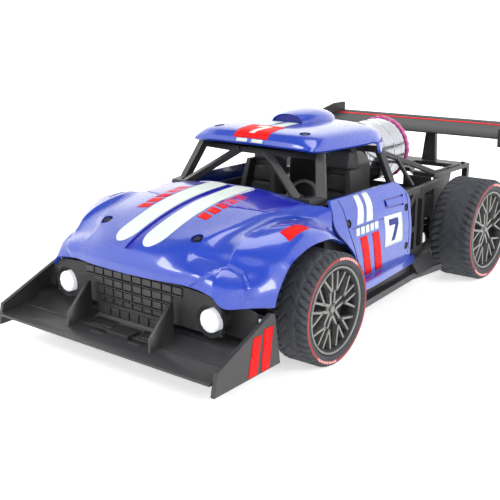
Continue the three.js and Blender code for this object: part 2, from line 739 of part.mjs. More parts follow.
const GEAR_X = [-17, -13.5];
const GEARBOX = {
  x0: -22, x1: -9.2, y0: 75, y1: 122, z0: FLOOR_TOP_Z + GAP, z1: 46.2, wall: 1.6,
};
const MOTOR_X = [GEARBOX.x1 + GAP, 20];
const MOTOR_SHAFT = 1;

// A rod along X at an axle or shaft, from x0 to x1.
const shaftRod = (radius, y, [x0, x1], sides = 16) => (
  rod(radius, [x0, y, REAR.z], [x1, y, REAR.z], sides)
);

function gearboxHalf(z0, z1, cavity) {
  const { x0, x1, y0, y1, wall } = GEARBOX;
  return cut(
    block([x0, x1], [y0, y1], [z0, z1]),
    block([x0 + wall, x1 - wall], [y0 + wall, y1 - wall], cavity),
    shaftRod(AXLE_RADIUS + BORE_GAP, REAR.y, [x0 - 1, x1 + 1]),
    shaftRod(MOTOR_SHAFT + BORE_GAP, MOTOR_Y, [x1 - 2 * wall, x1 + 1], 12),
  );
}

function driveMotor() {
  const [x0, x1] = MOTOR_X;
  const can = shaftRod(MOTOR_RADIUS, MOTOR_Y, [x0, x1], 24);
  const endBell = shaftRod(4, MOTOR_Y, [x1 - 1, x1 + 2], 14);
  const shaftHole = shaftRod(MOTOR_SHAFT + BORE_GAP, MOTOR_Y, [x0 - 1, x0 + 4], 12);
  return cut(join(can, endBell), shaftHole);
}

function motorPinion() {
  const width = [GEAR_X[0] - 1, GEAR_X[1] + 1];
  const gear = sidePlate(gearOutline(PINION_TEETH, 0.5), width).translate(0, MOTOR_Y, REAR.z);
  const shaft = shaftRod(MOTOR_SHAFT, MOTOR_Y, [GEAR_X[0] - 2, MOTOR_X[0] + 3], 12);
  return join(gear, shaft);
}

function axleGear() {
  const bore = circle(AXLE_RADIUS + GAP, 16);
  return sidePlate(gearOutline(AXLE_GEAR_TEETH, 0), GEAR_X, [bore]).translate(0, REAR.y, REAR.z);
}

add('gearbox_case', BLACK, gearboxHalf(
  GEARBOX.z0,
  REAR.z - GAP,
  [GEARBOX.z0 + GEARBOX.wall, REAR.z],
));
add('gearbox_cover', BLACK, gearboxHalf(
  REAR.z + GAP,
  GEARBOX.z1,
  [REAR.z - 1, GEARBOX.z1 - GEARBOX.wall],
));
add('drive_motor', STEEL, driveMotor());
add('motor_pinion', NYLON, motorPinion());
add('axle_gear', NYLON, axleGear());
add('rear_axle', STEEL, shaftRod(AXLE_RADIUS, REAR.y, [-78, 78]));

// ---- Electrics ----

const COVER_TOP_Z = UNDERSIDE_Z + 2;

function batteryPack() {
  const { x, y0, y1 } = BATTERY_BAY;
  const cell = rod(6.6, [-x + 4, 0, COVER_TOP_Z + 7.2], [x - 4, 0, COVER_TOP_Z + 7.2], 20);
  const wrap = block([-x + 4.5, x - 4.5], [y0 + 8, y1 - 8], [COVER_TOP_Z + 4, COVER_TOP_Z + 10]);
  const places = [y0 + 8, (y0 + y1) / 2, y1 - 8];
  return join(wrap, ...places.map((y) => cell.clone().translate(0, y, 0)));
}

function batteryCover() {
  const { x, y0, y1 } = BATTERY_BAY;
  const plate = block([-x, x], [y0, y1], [UNDERSIDE_Z, COVER_TOP_Z]);
  const grips = [0, 2.5, 5].map((offset) => (
    block([-8, 8], [y1 - 6 - offset, y1 - 5 - offset], [UNDERSIDE_Z - 1, UNDERSIDE_Z + 0.6])
  ));
  return cut(plate, ...grips);
}

function powerSwitch() {
  return join(
    block([53, 54.4], [60.2, 67.4], [22.4, 28.8]),
    block([54.2, 55.8], [61.8, 65.8], [23.4, 27.8]),
  );
}

function switchHousing() {
  return join(
    block([41, 52.7], [58.6, 69], [TRAY_TOP_Z + GAP, 34]),
    block([38, 50], [55.6, 60], [TRAY_TOP_Z + GAP, 22]),
  );
}

function circuitBoard() {
  const z = 13;
  return join(
    block([-26, 26], [-54.6, -31], [z, z + 1.6]),
    block([-16, -4], [-49, -37], [z + 1.4, z + 4]),
    block([4, 18], [-52, -44], [z + 1.4, z + 3.4]),
    block([-20, -16], [-34, -32], [FLOOR_TOP_Z + GAP, z + 0.4]),
    block([16, 20], [-53.6, -51.6], [FLOOR_TOP_Z + GAP, z + 0.4]),
  );
}

add('circuit_board', BOARD_GREEN, circuitBoard());
add('battery_pack', BATTERY_YELLOW, batteryPack());
add('battery_cover', BLACK, batteryCover());
add('switch_housing', BLACK, switchHousing());
add('power_switch', WHITE, powerSwitch());

// ---- Wheels ----

// A wheel is drawn with its inner face at x = 0 and its outer face at x = width.
function rim({ width, flange, barrel }, boreRadius) {
  const inside = barrel - 1.5;
  const hoop = turnedAboutX(ring([
    [1.2, flange], [2.4, flange], [2.6, barrel], [width - 2.6, barrel], [width - 2.4, flange],
    [width - 1.2, flange], [width - 1.2, inside + 1.2], [1.2, inside],
  ]), WHEEL_SIDES);
  const spokes = 5;
  const windows = Array.from({ length: spokes }, (_, i) => {
    const corner = (radius, side) => {
      const angle = (2 * Math.PI * (i + 0.5)) / spokes + side;
      return [radius * Math.cos(angle), radius * Math.sin(angle)];
    };
    const outer = inside - 1.6;
    return [corner(7, -0.3), corner(outer, -0.36), corner(outer, 0.36), corner(7, 0.3)];
  });
  const disc = circle(inside + 1.3, WHEEL_SIDES);
  const face = sidePlate(disc, [width - 7.4, width - 4.8], windows);
  const hub = rod(HUB_RADIUS, [width - 12, 0, 0], [width - 4, 0, 0]);
  const bore = rod(boreRadius, [width - 13, 0, 0], [width - 5.5, 0, 0]);
  return cut(join(hoop, face, hub), bore);
}

function tyre({ radius, width, flange, barrel }) {
  const half = [
    [2.9, barrel + GAP], [2.9, flange + GAP], [0.6, flange + 1], [0, radius - 3], [2.4, radius],
  ];
  const other = half.map(([along, r]) => [width - along, r]).reverse();
  return turnedAboutX(ring([...half, ...other]), WHEEL_SIDES);
}

function wheelPair(name, size, boreRadius) {
  for (const [side, sign] of [['left', 1], ['right', -1]]) {
    const corner = new THREE.Group();
    corner.position.set(sign * (size.outerX - size.width), size.y, size.z);
    corner.rotation.z = sign > 0 ? 0 : Math.PI;
    add(`rim_${name}_${side}`, GUNMETAL, rim(size, boreRadius), corner);
    add(`tyre_${name}_${side}`, RUBBER, tyre(size), corner);
    car.add(corner);
  }
}

wheelPair('front', FRONT, AXLE_RADIUS + BORE_GAP);
wheelPair('rear', REAR, AXLE_RADIUS + GAP);

car.position.z = LIFT;

export default car;
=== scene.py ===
"""Looks for a remote control drift car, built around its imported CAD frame.

Places are in millimetres: +X is the car's left, +Y its tail, and heights count from the datum that
the CAD source uses, LIFT above the ground.
"""

import json
import math

import bmesh
import bpy
from mathutils import Matrix, Vector
from mathutils.bvhtree import BVHTree


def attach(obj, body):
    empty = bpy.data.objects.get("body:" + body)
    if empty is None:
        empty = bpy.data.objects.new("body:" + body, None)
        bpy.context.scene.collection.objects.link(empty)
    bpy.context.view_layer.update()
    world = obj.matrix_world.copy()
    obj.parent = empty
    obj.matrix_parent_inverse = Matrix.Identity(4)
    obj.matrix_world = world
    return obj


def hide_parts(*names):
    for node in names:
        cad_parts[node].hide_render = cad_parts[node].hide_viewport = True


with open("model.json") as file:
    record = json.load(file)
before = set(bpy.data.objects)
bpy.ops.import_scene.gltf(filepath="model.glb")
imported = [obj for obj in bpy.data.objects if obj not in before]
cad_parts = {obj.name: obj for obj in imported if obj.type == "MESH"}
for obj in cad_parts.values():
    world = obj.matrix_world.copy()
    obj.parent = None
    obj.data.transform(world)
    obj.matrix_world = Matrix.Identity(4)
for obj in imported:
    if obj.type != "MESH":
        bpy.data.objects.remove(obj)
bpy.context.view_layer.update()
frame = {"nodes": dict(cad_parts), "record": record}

MM = 0.001
LIFT = 5.5
LEFT, RIGHT = 1, -1
SIDES = {"left": LEFT, "right": RIGHT}
BODY_OF = {
    node: body
    for body, nodes in frame["record"]["behaviour"]["bodies"].items()
    for node in nodes
}
SLOT_OF = {row["node"]: row["material_slot"] for row in frame["record"]["subparts"]}
UP = Vector((0, 0, 1))
DOWN = Vector((0, 0, -1))


# ---- Materials ----

def srgb(red, green, blue):
    """A display colour from 0 to 255 as the linear colour that shaders take."""
    def linear(value):
        part = value / 255
        return part / 12.92 if part <= 0.04045 else ((part + 0.055) / 1.055) ** 2.4
    return (linear(red), linear(green), linear(blue), 1)


def scaled(colour, factor):
    return (*[min(1, channel * factor) for channel in colour[:3]], 1)


def set_inputs(node, **values):
    """Sets a node's inputs. The spaces in their names are written as underscores."""
    for name, value in values.items():
        node.inputs[name.replace("_", " ")].default_value = value


def noise(nodes, links, size_mm, detail=4):
    """A noise texture in the object's own coordinates, whose features are about size_mm across."""
    coordinates = nodes.new("ShaderNodeTexCoord")
    texture = nodes.new("ShaderNodeTexNoise")
    set_inputs(texture, Scale=1 / (size_mm * MM), Detail=detail, Roughness=0.6)
    links.new(coordinates.outputs["Object"], texture.inputs["Vector"])
    return texture.outputs["Fac"]


def mapped(nodes, links, source, low, high):
    """Maps the middle of a noise to the span low..high."""
    span = nodes.new("ShaderNodeMapRange")
    set_inputs(span, From_Min=0.35, From_Max=0.65, To_Min=low, To_Max=high)
    links.new(source, span.inputs["Value"])
    return span.outputs["Result"]


# The colour sockets of a Mix node share their names with others, so they go by number.
MIX_FIRST, MIX_SECOND, MIX_RESULT = 6, 7, 2


def mixed(nodes, links, factor, first, second):
    mix = nodes.new("ShaderNodeMix")
    mix.data_type = "RGBA"
    links.new(factor, mix.inputs["Factor"])
    mix.inputs[MIX_FIRST].default_value = first
    mix.inputs[MIX_SECOND].default_value = second
    return mix.outputs[MIX_RESULT]


def finish(name, colour, roughness, mottle=0.08, mottle_mm=14, grain_mm=0.5, bump=0.02, **sockets):
    """A Principled material with uneven colour, uneven gloss and a fine surface grain.

    mottle is how far the colour varies, bump the height of the grain in millimetres, and sockets are
    further Principled inputs.
    """
    material = bpy.data.materials.new(name)
    material.use_nodes = True
    nodes, links = material.node_tree.nodes, material.node_tree.links
    shader = nodes["Principled BSDF"]
    set_inputs(shader, **sockets)
    broad = noise(nodes, links, mottle_mm)
    fine = noise(nodes, links, grain_mm, detail=2)
    tone = mapped(nodes, links, broad, 0, 1)
    shade = mixed(nodes, links, tone, scaled(colour, 1 - mottle), scaled(colour, 1 + mottle))
    links.new(shade, shader.inputs["Base Color"])
    gloss = mapped(nodes, links, fine, roughness * 0.85, roughness * 1.15)
    links.new(gloss, shader.inputs["Roughness"])
    relief = nodes.new("ShaderNodeBump")
    set_inputs(relief, Distance=bump * MM, Strength=0.6)
    links.new(fine, relief.inputs["Height"])
    links.new(relief.outputs["Normal"], shader.inputs["Normal"])
    return material


PAINT = dict(Coat_Weight=0.85, Coat_Roughness=0.06, grain_mm=0.35, bump=0.006)
BLUE = finish("blue_paint", srgb(21, 55, 162), 0.3, mottle=0.05, mottle_mm=30, **PAINT)
# Deep blue: painted shade on the cowl and fender hollows that turn away from the light, and in the hood
# groove and the door handle recess.
PAINTED_SHADE_DEEP_BLUE = finish("painted_shade_deep_blue", srgb(4, 14, 150), 0.4, mottle=0.06, mottle_mm=30, **PAINT)
# Painted shade in the screw recesses and the roof scoop's open mouth; also the colour of the door seams
# and of the printed door numbers.
PAINTED_SHADE_AND_PRINT_BLUE = finish("painted_shade_and_print_blue", srgb(14, 26, 120), 0.5, mottle_mm=10)
OFF_WHITE = finish("off_white_print", srgb(198, 207, 201), 0.4, mottle=0.03, mottle_mm=9, bump=0.01)
PINK = finish("pale_ring_marks", srgb(214, 150, 146), 0.6, mottle=0.1, mottle_mm=2)
RED = finish(
    "red_print", srgb(205, 2, 4), 0.5, mottle=0.05, mottle_mm=7, bump=0.01, Specular_IOR_Level=0.15,
)
TRIM = finish("black_trim", srgb(39, 39, 41), 0.42, mottle=0.1, mottle_mm=9, grain_mm=0.45, bump=0.035)
# A darker copy of the black trim. On the grille, the bowls round the headlights, the nose and arch
# liners, the wing, the rims' inner barrels and the door screw wells its darkness is painted shade;
# elsewhere it is the part's own dark colour.
DARK_AND_PAINTED_SHADE = finish("dark_plastic_and_painted_shade", srgb(26, 26, 28), 0.6, mottle=0.12, mottle_mm=6, bump=0.03)
SEAT = finish("seat_leather", srgb(40, 40, 42), 0.55, mottle=0.14, mottle_mm=5, grain_mm=0.8, bump=0.09)
RUBBER = finish("tyre_rubber", srgb(47, 49, 55), 0.72, mottle=0.16, mottle_mm=4, grain_mm=0.6, bump=0.06)
RING_RED = finish("ring_red_rubber", srgb(142, 30, 30), 0.6, mottle=0.15, mottle_mm=2.5, bump=0.03)
GUNMETAL = finish(
    "gunmetal_rim", srgb(122, 122, 120), 0.36, mottle=0.08, mottle_mm=5, grain_mm=0.2, bump=0.01,
    Metallic=0.55,
)
CHROME = finish(
    "bright_plating", srgb(172, 174, 180), 0.16, mottle=0.04, mottle_mm=16, grain_mm=1.2, bump=0.004,
    Metallic=1,
)
STEEL = finish(
    "turned_steel", srgb(186, 188, 190), 0.3, mottle=0.07, mottle_mm=3, grain_mm=0.15, bump=0.012,
    Metallic=1,
)
SCREW_STEEL = finish("dark_screw_steel", srgb(64, 66, 72), 0.38, mottle=0.1, mottle_mm=1, Metallic=0.8)
NYLON = finish(
    "natural_nylon", srgb(226, 222, 208), 0.5, mottle=0.05, mottle_mm=4, Subsurface_Weight=0.1,
)
WHITE = finish("white_plastic", srgb(232, 232, 228), 0.42, mottle=0.04, mottle_mm=5)
MAGENTA = finish(
    "tinted_light_ring", srgb(176, 66, 132), 0.25, mottle=0.15, mottle_mm=4, Coat_Weight=0.5,
)
GREEN = finish("board_mask", srgb(24, 92, 48), 0.4, mottle=0.2, mottle_mm=1.6, Coat_Weight=0.4)
WRAP = finish("battery_wrap", srgb(214, 168, 40), 0.3, mottle_mm=12, Coat_Weight=0.3)
LAMP = finish(
    "lit_lamp", srgb(206, 210, 218), 0.12, mottle=0.02, mottle_mm=3, grain_mm=0.9, bump=0.12,
    Emission_Color=(0.94, 0.97, 1, 1), Emission_Strength=0.42,
)

FINISH_OF_SLOT = {
    "body_blue": BLUE, "trim_black": TRIM, "seat_black": SEAT, "tyre_rubber": RUBBER,
    "rim_gunmetal": GUNMETAL, "lamp_lens": LAMP, "nozzle_plated": CHROME, "light_ring": MAGENTA,
    "bright_steel": STEEL, "nylon_white": NYLON, "board_green": GREEN, "battery_wrap": WRAP,
    "switch_white": WHITE,
}


# ---- Mesh helpers ----

SHARP_ANGLE = 35
BEVEL_ANGLE = 32
MERGE_DISTANCE = 1e-6


def place(point):
    """A point of the drawing as a place in the scene, in metres."""
    x, y, z = point
    return Vector((x, y, z + LIFT)) * MM


def shown(name, data):
    """A new object in the scene."""
    made = bpy.data.objects.new(name, data)
    bpy.context.scene.collection.objects.link(made)
    return made


def smooth(mesh, sharp=SHARP_ANGLE):
    mesh.shade_smooth()
    mesh.set_sharp_from_angle(angle=math.radians(sharp))


def piece(name, mesh, finishes, body="chassis", slot=None, stands_for=(), sharp=SHARP_ANGLE):
    """Makes a mesh into a shown piece that rides on a body."""
    for material in finishes:
        mesh.materials.append(material)
    smooth(mesh, sharp)
    made = shown(name, mesh)
    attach(made, body)
    if stands_for:
        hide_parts(*stands_for)
    return made


def mesh_from(name, points, faces, tags=None):
    """A mesh of drawing points, its faces turned outwards. tags gives each face's material number."""
    mesh = bpy.data.meshes.new(name)
    mesh.from_pydata([place(point) for point in points], [], faces)
    if tags:
        mesh.polygons.foreach_set("material_index", tags)
    work = bmesh.new()
    work.from_mesh(mesh)
    bmesh.ops.recalc_face_normals(work, faces=work.faces)
    work.to_mesh(mesh)
    work.free()
    return mesh


def bevel(made, width, segments=2):
    modifier = made.modifiers.new("bevel", "BEVEL")
    modifier.width = width * MM
    modifier.segments = segments
    modifier.limit_method = "ANGLE"
    modifier.angle_limit = math.radians(BEVEL_ANGLE)
    modifier.harden_normals = True
    return made


def settle(made):
    """Applies a piece's modifiers, so that its mesh is what is shown."""
    graph = bpy.context.evaluated_depsgraph_get()
    mesh = bpy.data.meshes.new_from_object(made.evaluated_get(graph), depsgraph=graph)
    made.modifiers.clear()
    made.data = mesh
    return made


def carve(made, cutters):
    """Cuts closed meshes out of a piece. The cut faces take the cutters' materials."""
    for mesh in cutters:
        tool = shown("cutter", mesh)
        modifier = made.modifiers.new("cut", "BOOLEAN")
        modifier.object = tool
        modifier.operation = "DIFFERENCE"
        modifier.solver = "EXACT"
        modifier.material_mode = "TRANSFER"
        settle(made)
        bpy.data.objects.remove(tool)
    smooth(made.data)
    return made


def rounded_copy(node, width=0.4, material=None, segments=2):
    """A CAD node with its flat facets merged and its edges rounded, shown in the node's place."""
    mesh = frame["nodes"][node].data.copy()
    mesh.materials.clear()
    work = bmesh.new()
    work.from_mesh(mesh)
    bmesh.ops.remove_doubles(work, verts=work.verts, dist=MERGE_DISTANCE)
    bmesh.ops.dissolve_limit(work, angle_limit=math.radians(0.5), verts=work.verts, edges=work.edges)
    work.to_mesh(mesh)
    work.free()
    slot = SLOT_OF[node]
    made = piece(
        node + "_look", mesh, [material or FINISH_OF_SLOT[slot]], BODY_OF[node], slot, [node],
    )
    return bevel(made, width, segments)


def lathe(profile, sides, to_place, tag=None):
    """Points and faces of a closed profile of [along, radius] turned about an axis.

    to_place takes along, radius and angle to a drawing point.
    """
    points, faces, tags = [], [], []
    count = len(profile)
    for step in range(sides):
        angle = 2 * math.pi * step / sides
        points += [to_place(along, radius, angle) for along, radius in profile]
    for step in range(sides):
        here, there = step * count, (step + 1) % sides * count
        for i in range(count):
            j = (i + 1) % count
            faces.append((here + i, here + j, there + j, there + i))
            tags.append(tag(i, step) if tag else 0)
    return points, faces, tags


def gathered(parts):
    """Joins several (points, faces) or (points, faces, tags) into one."""
    points, faces, tags = [], [], []
    for part in parts:
        start = len(points)
        points += part[0]
        faces += [tuple(start + i for i in face) for face in part[1]]
        tags += part[2] if len(part) > 2 else [0] * len(part[1])
    return points, faces, tags


def solid(name, parts, material, slot="trim_black", **options):
    """A piece of one material, made of closed parts."""
    return piece(name, mesh_from(name, *gathered(parts)), [material], slot=slot, **options)


def cutter(points, faces, material):
    """A closed mesh for carve."""
    mesh = mesh_from("cutter", points, faces)
    mesh.materials.append(material)
    return mesh


def prism_faces(count):
    """The faces of a closed prism, whose points are a loop of count points and then its copy."""
    faces = [tuple(range(count)), tuple(range(2 * count - 1, count - 1, -1))]
    return faces + [(i, (i + 1) % count, count + (i + 1) % count, count + i) for i in range(count)]


def prism(outline, low, high, to_place):
    """A closed prism of a 2-D outline between two levels. to_place takes a, b and level."""
    points = [to_place(a, b, level) for level in (low, high) for a, b in outline]
    return points, prism_faces(len(outline))


def lying(outline, z0, z1):
    """A prism of an (x, y) outline."""
    return prism(outline, z0, z1, lambda x, y, z: (x, y, z))


def facing(outline, y0, y1):
    """A prism of an (x, z) outline."""
    return prism(outline, y0, y1, lambda x, z, y: (x, y, z))


def sideways(outline, x0, x1):
    """A prism of a (y, z) outline."""
    return prism(outline, x0, x1, lambda y, z, x: (x, y, z))


def rectangle(a0, a1, b0, b1):
    return [(a0, b0), (a1, b0), (a1, b1), (a0, b1)]


def on_side(side, outline):
    """An outline drawn for the car's left, as it lies on either side."""
    return [(side * a, b) for a, b in outline]


def whole(half):
    """An outline's left half and its mirror image."""
    return half + on_side(RIGHT, reversed(half))


def polar(radius, angle):
    """A flat place at a radius, its angle counted from the second axis."""
    return radius * math.sin(angle), radius * math.cos(angle)


def strut(start, end, width, height):
    """A straight square bar between two drawing points."""
    start, end = Vector(start), Vector(end)
    along = (end - start).normalized()
    side = along.cross(DOWN).normalized()
    up = side.cross(along)
    corners = [(-1, -1), (1, -1), (1, 1), (-1, 1)]
    points = [
        spot + side * (a * width / 2) + up * (b * height / 2)
        for spot in (start, end)
        for a, b in corners
    ]
    return points, prism_faces(len(corners))


def box(x0, x1, y0, y1, z0, z1):
    return lying(rectangle(x0, x1, y0, y1), z0, z1)


def circle(radius, sides, centre=(0, 0)):
    return [
        (
            centre[0] + radius * math.cos(2 * math.pi * i / sides),
            centre[1] + radius * math.sin(2 * math.pi * i / sides),
        )
        for i in range(sides)
    ]


def spline(points, t):
    """A Catmull-Rom curve through points, at t from 0 to the last point's number."""
    i = min(int(t), len(points) - 2)
    part = t - i
    here, there = points[i], points[i + 1]
    before = points[i - 1] if i > 0 else 2 * here - there
    after = points[i + 2] if i + 2 < len(points) else 2 * there - here
    return 0.5 * (
        2 * here
        + (there - before) * part
        + (2 * before - 5 * here + 4 * there - after) * part ** 2
        + (3 * here - before - 3 * there + after) * part ** 3
    )


def creased_spline(points, t, creases):
    """Like spline, but with a kink at the points numbered in creases."""
    stops = [0, *creases, len(points) - 1]
    for start, end in zip(stops, stops[1:]):
        if t <= end:
            return spline(points[start:end + 1], t - start)
    return points[-1].copy()


def steps(last, per_step):
    """Values from 0 to last, with per_step of them for each whole number."""
    return [i / per_step for i in range(last * per_step + 1)]


def surface(rows, along, across, creases=(), mirrored=True):
    """A dense grid of points through rows, whose points go out from the centre line."""
    rows = [[Vector(point) for point in row] for row in rows]
    grid = []
    for v in steps(len(rows) - 1, along):
        knots = [spline([row[i] for row in rows], v) for i in range(len(rows[0]))]
        half = [creased_spline(knots, u, creases) for u in steps(len(knots) - 1, across)]
        other = [Vector((-p.x, p.y, p.z)) for p in reversed(half[1:])] if mirrored else []
        grid.append(other + half)
    return grid


def shell(name, grid, thickness, inwards):
    """A closed panel: a grid of points and its copy moved inwards, joined round the edge."""
    rows, columns = len(grid), len(grid[0])
    outer = [point for row in grid for point in row]
    inner = [point + inwards(point) * thickness for point in outer]
    points = outer + inner
    offset = len(outer)
    faces = []
    for r in range(rows - 1):
        for c in range(columns - 1):
            a = r * columns + c
            quad = (a, a + 1, a + columns + 1, a + columns)
            faces.append(quad)
            faces.append(tuple(offset + i for i in reversed(quad)))
    rim = list(range(columns))
    rim += [r * columns + columns - 1 for r in range(1, rows)]
    rim += [(rows - 1) * columns + c for c in range(columns - 2, -1, -1)]
    rim += [r * columns for r in range(rows - 2, 0, -1)]
    for a, b in zip(rim, rim[1:] + rim[:1]):
        faces.append((b, a, offset + a, offset + b))
    return mesh_from(name, points, faces)


def towards(target):
    target = Vector(target)
    return lambda point: (target - point).normalized()


def tree_of(made):
    """A ray target of a piece's mesh, in scene metres."""
    work = bmesh.new()
    work.from_mesh(made.data)
    tree = BVHTree.FromBMesh(work)
    work.free()
    return tree


# Rays start this far outside, and so do the flat places that prints and cutters are drawn on.
RAY_REACH = 60


def on_surface(tree, point, direction):
    """Where a ray from outside hits the surface: the drawing point and the outward normal."""
    direction = Vector(direction)
    start = place(Vector(point) - direction * RAY_REACH)
    hit, normal, _, _ = tree.ray_cast(start, direction)
    if hit is None:
        hit, normal, _, _ = tree.find_nearest(place(point))
    if normal.dot(direction) > 0:
        normal = -normal
    return hit / MM - Vector((0, 0, LIFT)), normal


def flat_to_space(direction):
    """How a decal's flat (a, b) becomes a point: (x, y) seen from above, (y, z) seen from a side."""
    if abs(direction[2]) > 0.5:
        return lambda a, b: Vector((a, b, RAY_REACH))
    return lambda a, b: Vector((RAY_REACH * -direction[0], a, b))


# Thicknesses of the printed sheets, how far apart their points are, and how high they float.
THIN_PRINT, PRINT, RAISED_PRINT = 0.12, 0.14, 0.26
SHEET_CELL = 2.2
SHEET_GAP = 0.03


def laid_on(name, tree, outlines, direction, material, thickness=PRINT, slot="body_blue"):
    """A thin sheet, cut to outlines and laid over a surface along a direction: a print, a raised part or
    a sheet of painted shade.
    """
    to_space = flat_to_space(direction)
    work = bmesh.new()
    for outline in outlines:
        work.faces.new([work.verts.new((a, b, 0)) for a, b in outline])
    values = [(vert.co.x, vert.co.y) for vert in work.verts]
    for axis in (0, 1):
        low, high = min(v[axis] for v in values), max(v[axis] for v in values)
        normal = Vector((1, 0, 0)) if axis == 0 else Vector((0, 1, 0))
        for i in range(1, int((high - low) / SHEET_CELL) + 1):
            geometry = work.verts[:] + work.edges[:] + work.faces[:]
            bmesh.ops.bisect_plane(
                work, geom=geometry, plane_co=normal * (low + i * SHEET_CELL), plane_no=normal, dist=1e-4,
            )
    for vert in work.verts:
        spot, normal = on_surface(tree, to_space(vert.co.x, vert.co.y), direction)
        vert.co = place(spot + normal * SHEET_GAP)
    bmesh.ops.triangulate(work, faces=[face for face in work.faces if len(face.verts) > 4])
    for face in work.faces:
        face.normal_update()
        if face.normal.dot(Vector(direction)) > 0:
            face.normal_flip()
    mesh = bpy.data.meshes.new(name)
    work.to_mesh(mesh)
    work.free()
    made = piece(name, mesh, [material], slot=slot)
    modifier = made.modifiers.new("thickness", "SOLIDIFY")
    modifier.thickness = thickness * MM
    modifier.offset = 1
    return settle(made)


TRENCH_STEP = 3


def trench(tree, line, direction, material, width, depth):
    """A cutter that follows a line over a surface: a blade of the given width and depth."""
    to_space = flat_to_space(direction)
    flat = []
    for (a0, b0), (a1, b1) in zip(line, line[1:]):
        count = max(1, round(math.hypot(a1 - a0, b1 - b0) / TRENCH_STEP))
        flat += [(a0 + (a1 - a0) * i / count, b0 + (b1 - b0) * i / count) for i in range(count)]
    flat.append(line[-1])
    spots = [on_surface(tree, to_space(a, b), direction) for a, b in flat]
    points = []
    for i, (spot, normal) in enumerate(spots):
        before, after = spots[max(0, i - 1)][0], spots[min(len(spots) - 1, i + 1)][0]
        side = (after - before).cross(normal).normalized() * width / 2
        low, high = spot - normal * depth, spot + normal * 2
        points += [low - side, low + side, high + side, high - side]
    faces = [(3, 2, 1, 0), tuple(len(points) - 4 + i for i in range(4))]
    for i in range(len(spots) - 1):
        a = 4 * i
        faces += [(a + k, a + (k + 1) % 4, a + 4 + (k + 1) % 4, a + 4 + k) for k in range(4)]
    return cutter(points, faces, material)


def pocket(tree, outline, direction, material, depth):
    """A cutter for a pocket of even depth under an outline, which stays small enough to be flat."""
    to_space = flat_to_space(direction)
    middle = (sum(a for a, _ in outline) / len(outline), sum(b for _, b in outline) / len(outline))
    _, normal = on_surface(tree, to_space(*middle), direction)
    spots = [on_surface(tree, to_space(a, b), direction)[0] for a, b in outline]
    points = [spot - normal * depth for spot in spots] + [spot + normal * 3 for spot in spots]
    return cutter(points, prism_faces(len(outline)), material)


# ---- Body shells ----

SHELL = 1.8
SHOULDER, CREST = 2, 4

# Rows of the hood from its front lip back. Points go out from the centre line: middle, stripe edge,
# shoulder, valley, fender crest, fender bulge, fender side, and the lip of the wheel arch.
HOOD_ROWS = [
    [(0, -151.5, 43.5), (20, -151, 43.8), (38, -149, 44), (47, -148.6, 43.5),
     (55, -148, 41.5), (60.8, -146.1, 36.2), (69, -137, 35.7), (75, -125.5, 34.2)],
    [(0, -151, 49), (20, -150, 49.5), (36, -147.5, 50), (45, -146.5, 50),
     (54, -144, 49), (62, -139, 45), (69.5, -131, 43), (75, -123.5, 39.5)],
    [(0, -147, 55.5), (20, -145, 56), (33.5, -139, 57.5), (44, -137, 55),
     (54, -134.1, 54.1), (62, -129, 51), (69, -124, 49.5), (75, -119.5, 45.5)],
    [(0, -139, 60), (20, -138, 60), (34.5, -132.5, 62), (44, -131, 59.5),
     (54, -128.5, 59.6), (62.5, -123, 57.5), (70, -117.5, 55), (75, -113.5, 51.9)],
    [(0, -128, 64.3), (20, -127.5, 64), (37.5, -125, 64.6), (45.5, -123, 62.5),
     (54, -120, 63.9), (63, -114.5, 62.5), (70.5, -109.5, 59.5), (75, -106.5, 55.2)],
    [(0, -114, 68.5), (20, -114, 68.3), (40.3, -112, 67), (47, -110.5, 65.2),
     (54, -108, 66.9), (63, -104, 66), (70.8, -100, 62.5), (75, -97, 57.7)],
    [(0, -98, 71.8), (20, -98, 71.7), (42.3, -96, 69.3), (49, -95.5, 67.3),
     (55, -94, 68.1), (63.5, -91.5, 66.5), (71, -88.5, 63), (74.8, -86, 58.3)],
    [(0, -82, 73.6), (20, -82, 73.6), (45.8, -80, 69.9), (52.5, -79, 67.5),
     (57.5, -79.5, 66.2), (64.5, -78, 63.8), (70.8, -75.5, 60.5), (73, -73, 56.6)],
    [(0, -64, 74.6), (20, -64, 74.4), (52, -63.6, 69.9), (59.6, -56.6, 67.6),
     (62.9, -58.9, 61.8), (64, -60, 57.6), (65, -56.8, 53), (66.5, -51, 48.6)],
]
HOOD_MIDDLE = (0, -88, 8)
HOOD_SCREWS = [(32, -131.4), (41.2, -77.1)]
RECESS = 3.2
RECESS_DEPTH = 1.5

STRIPE = (3.2, 15.8)
STRIPE_FRONT_Y = -144.5
STRIPE_REAR_Y = -65.6

# The step above each headlight, as (x, z) seen from the front. The brow below it lies deeper.
BROW_STEP = [(40.5, 43.5), (47.5, 48.6), (54.3, 54), (61.2, 50.4), (66.2, 45.6), (68, 40)]
BROW_DEPTH = 1.4
BROW_REACH = 8


def interpolated(line, x):
    """The height of a line of (x, z) points at x."""
    for (x0, z0), (x1, z1) in zip(line, line[1:]):
        if x0 <= x <= x1:
            return z0 + (z1 - z0) * (x - x0) / (x1 - x0)
    return None


def line_distance(line, spot):
    """How far a flat spot is from a line of points."""
    best = 1e9
    for start, end in zip(line, line[1:]):
        a, b = Vector(start), Vector(end)
        part = max(0, min(1, (spot - a).dot(b - a) / (b - a).length_squared))
        best = min(best, (a + (b - a) * part - spot).length)
    return best


def brow_depth(point):
    """How deep the headlight brow lies under the hood's surface at a point."""
    x = abs(point.x)
    step = interpolated(BROW_STEP, x)
    if step is None or point.y > -118 or point.z > step:
        return 0
    far = line_distance(BROW_STEP, Vector((x, point.z)))
    return BROW_DEPTH * min(1, far / 0.8) * math.exp(-((far / BROW_REACH) ** 2))


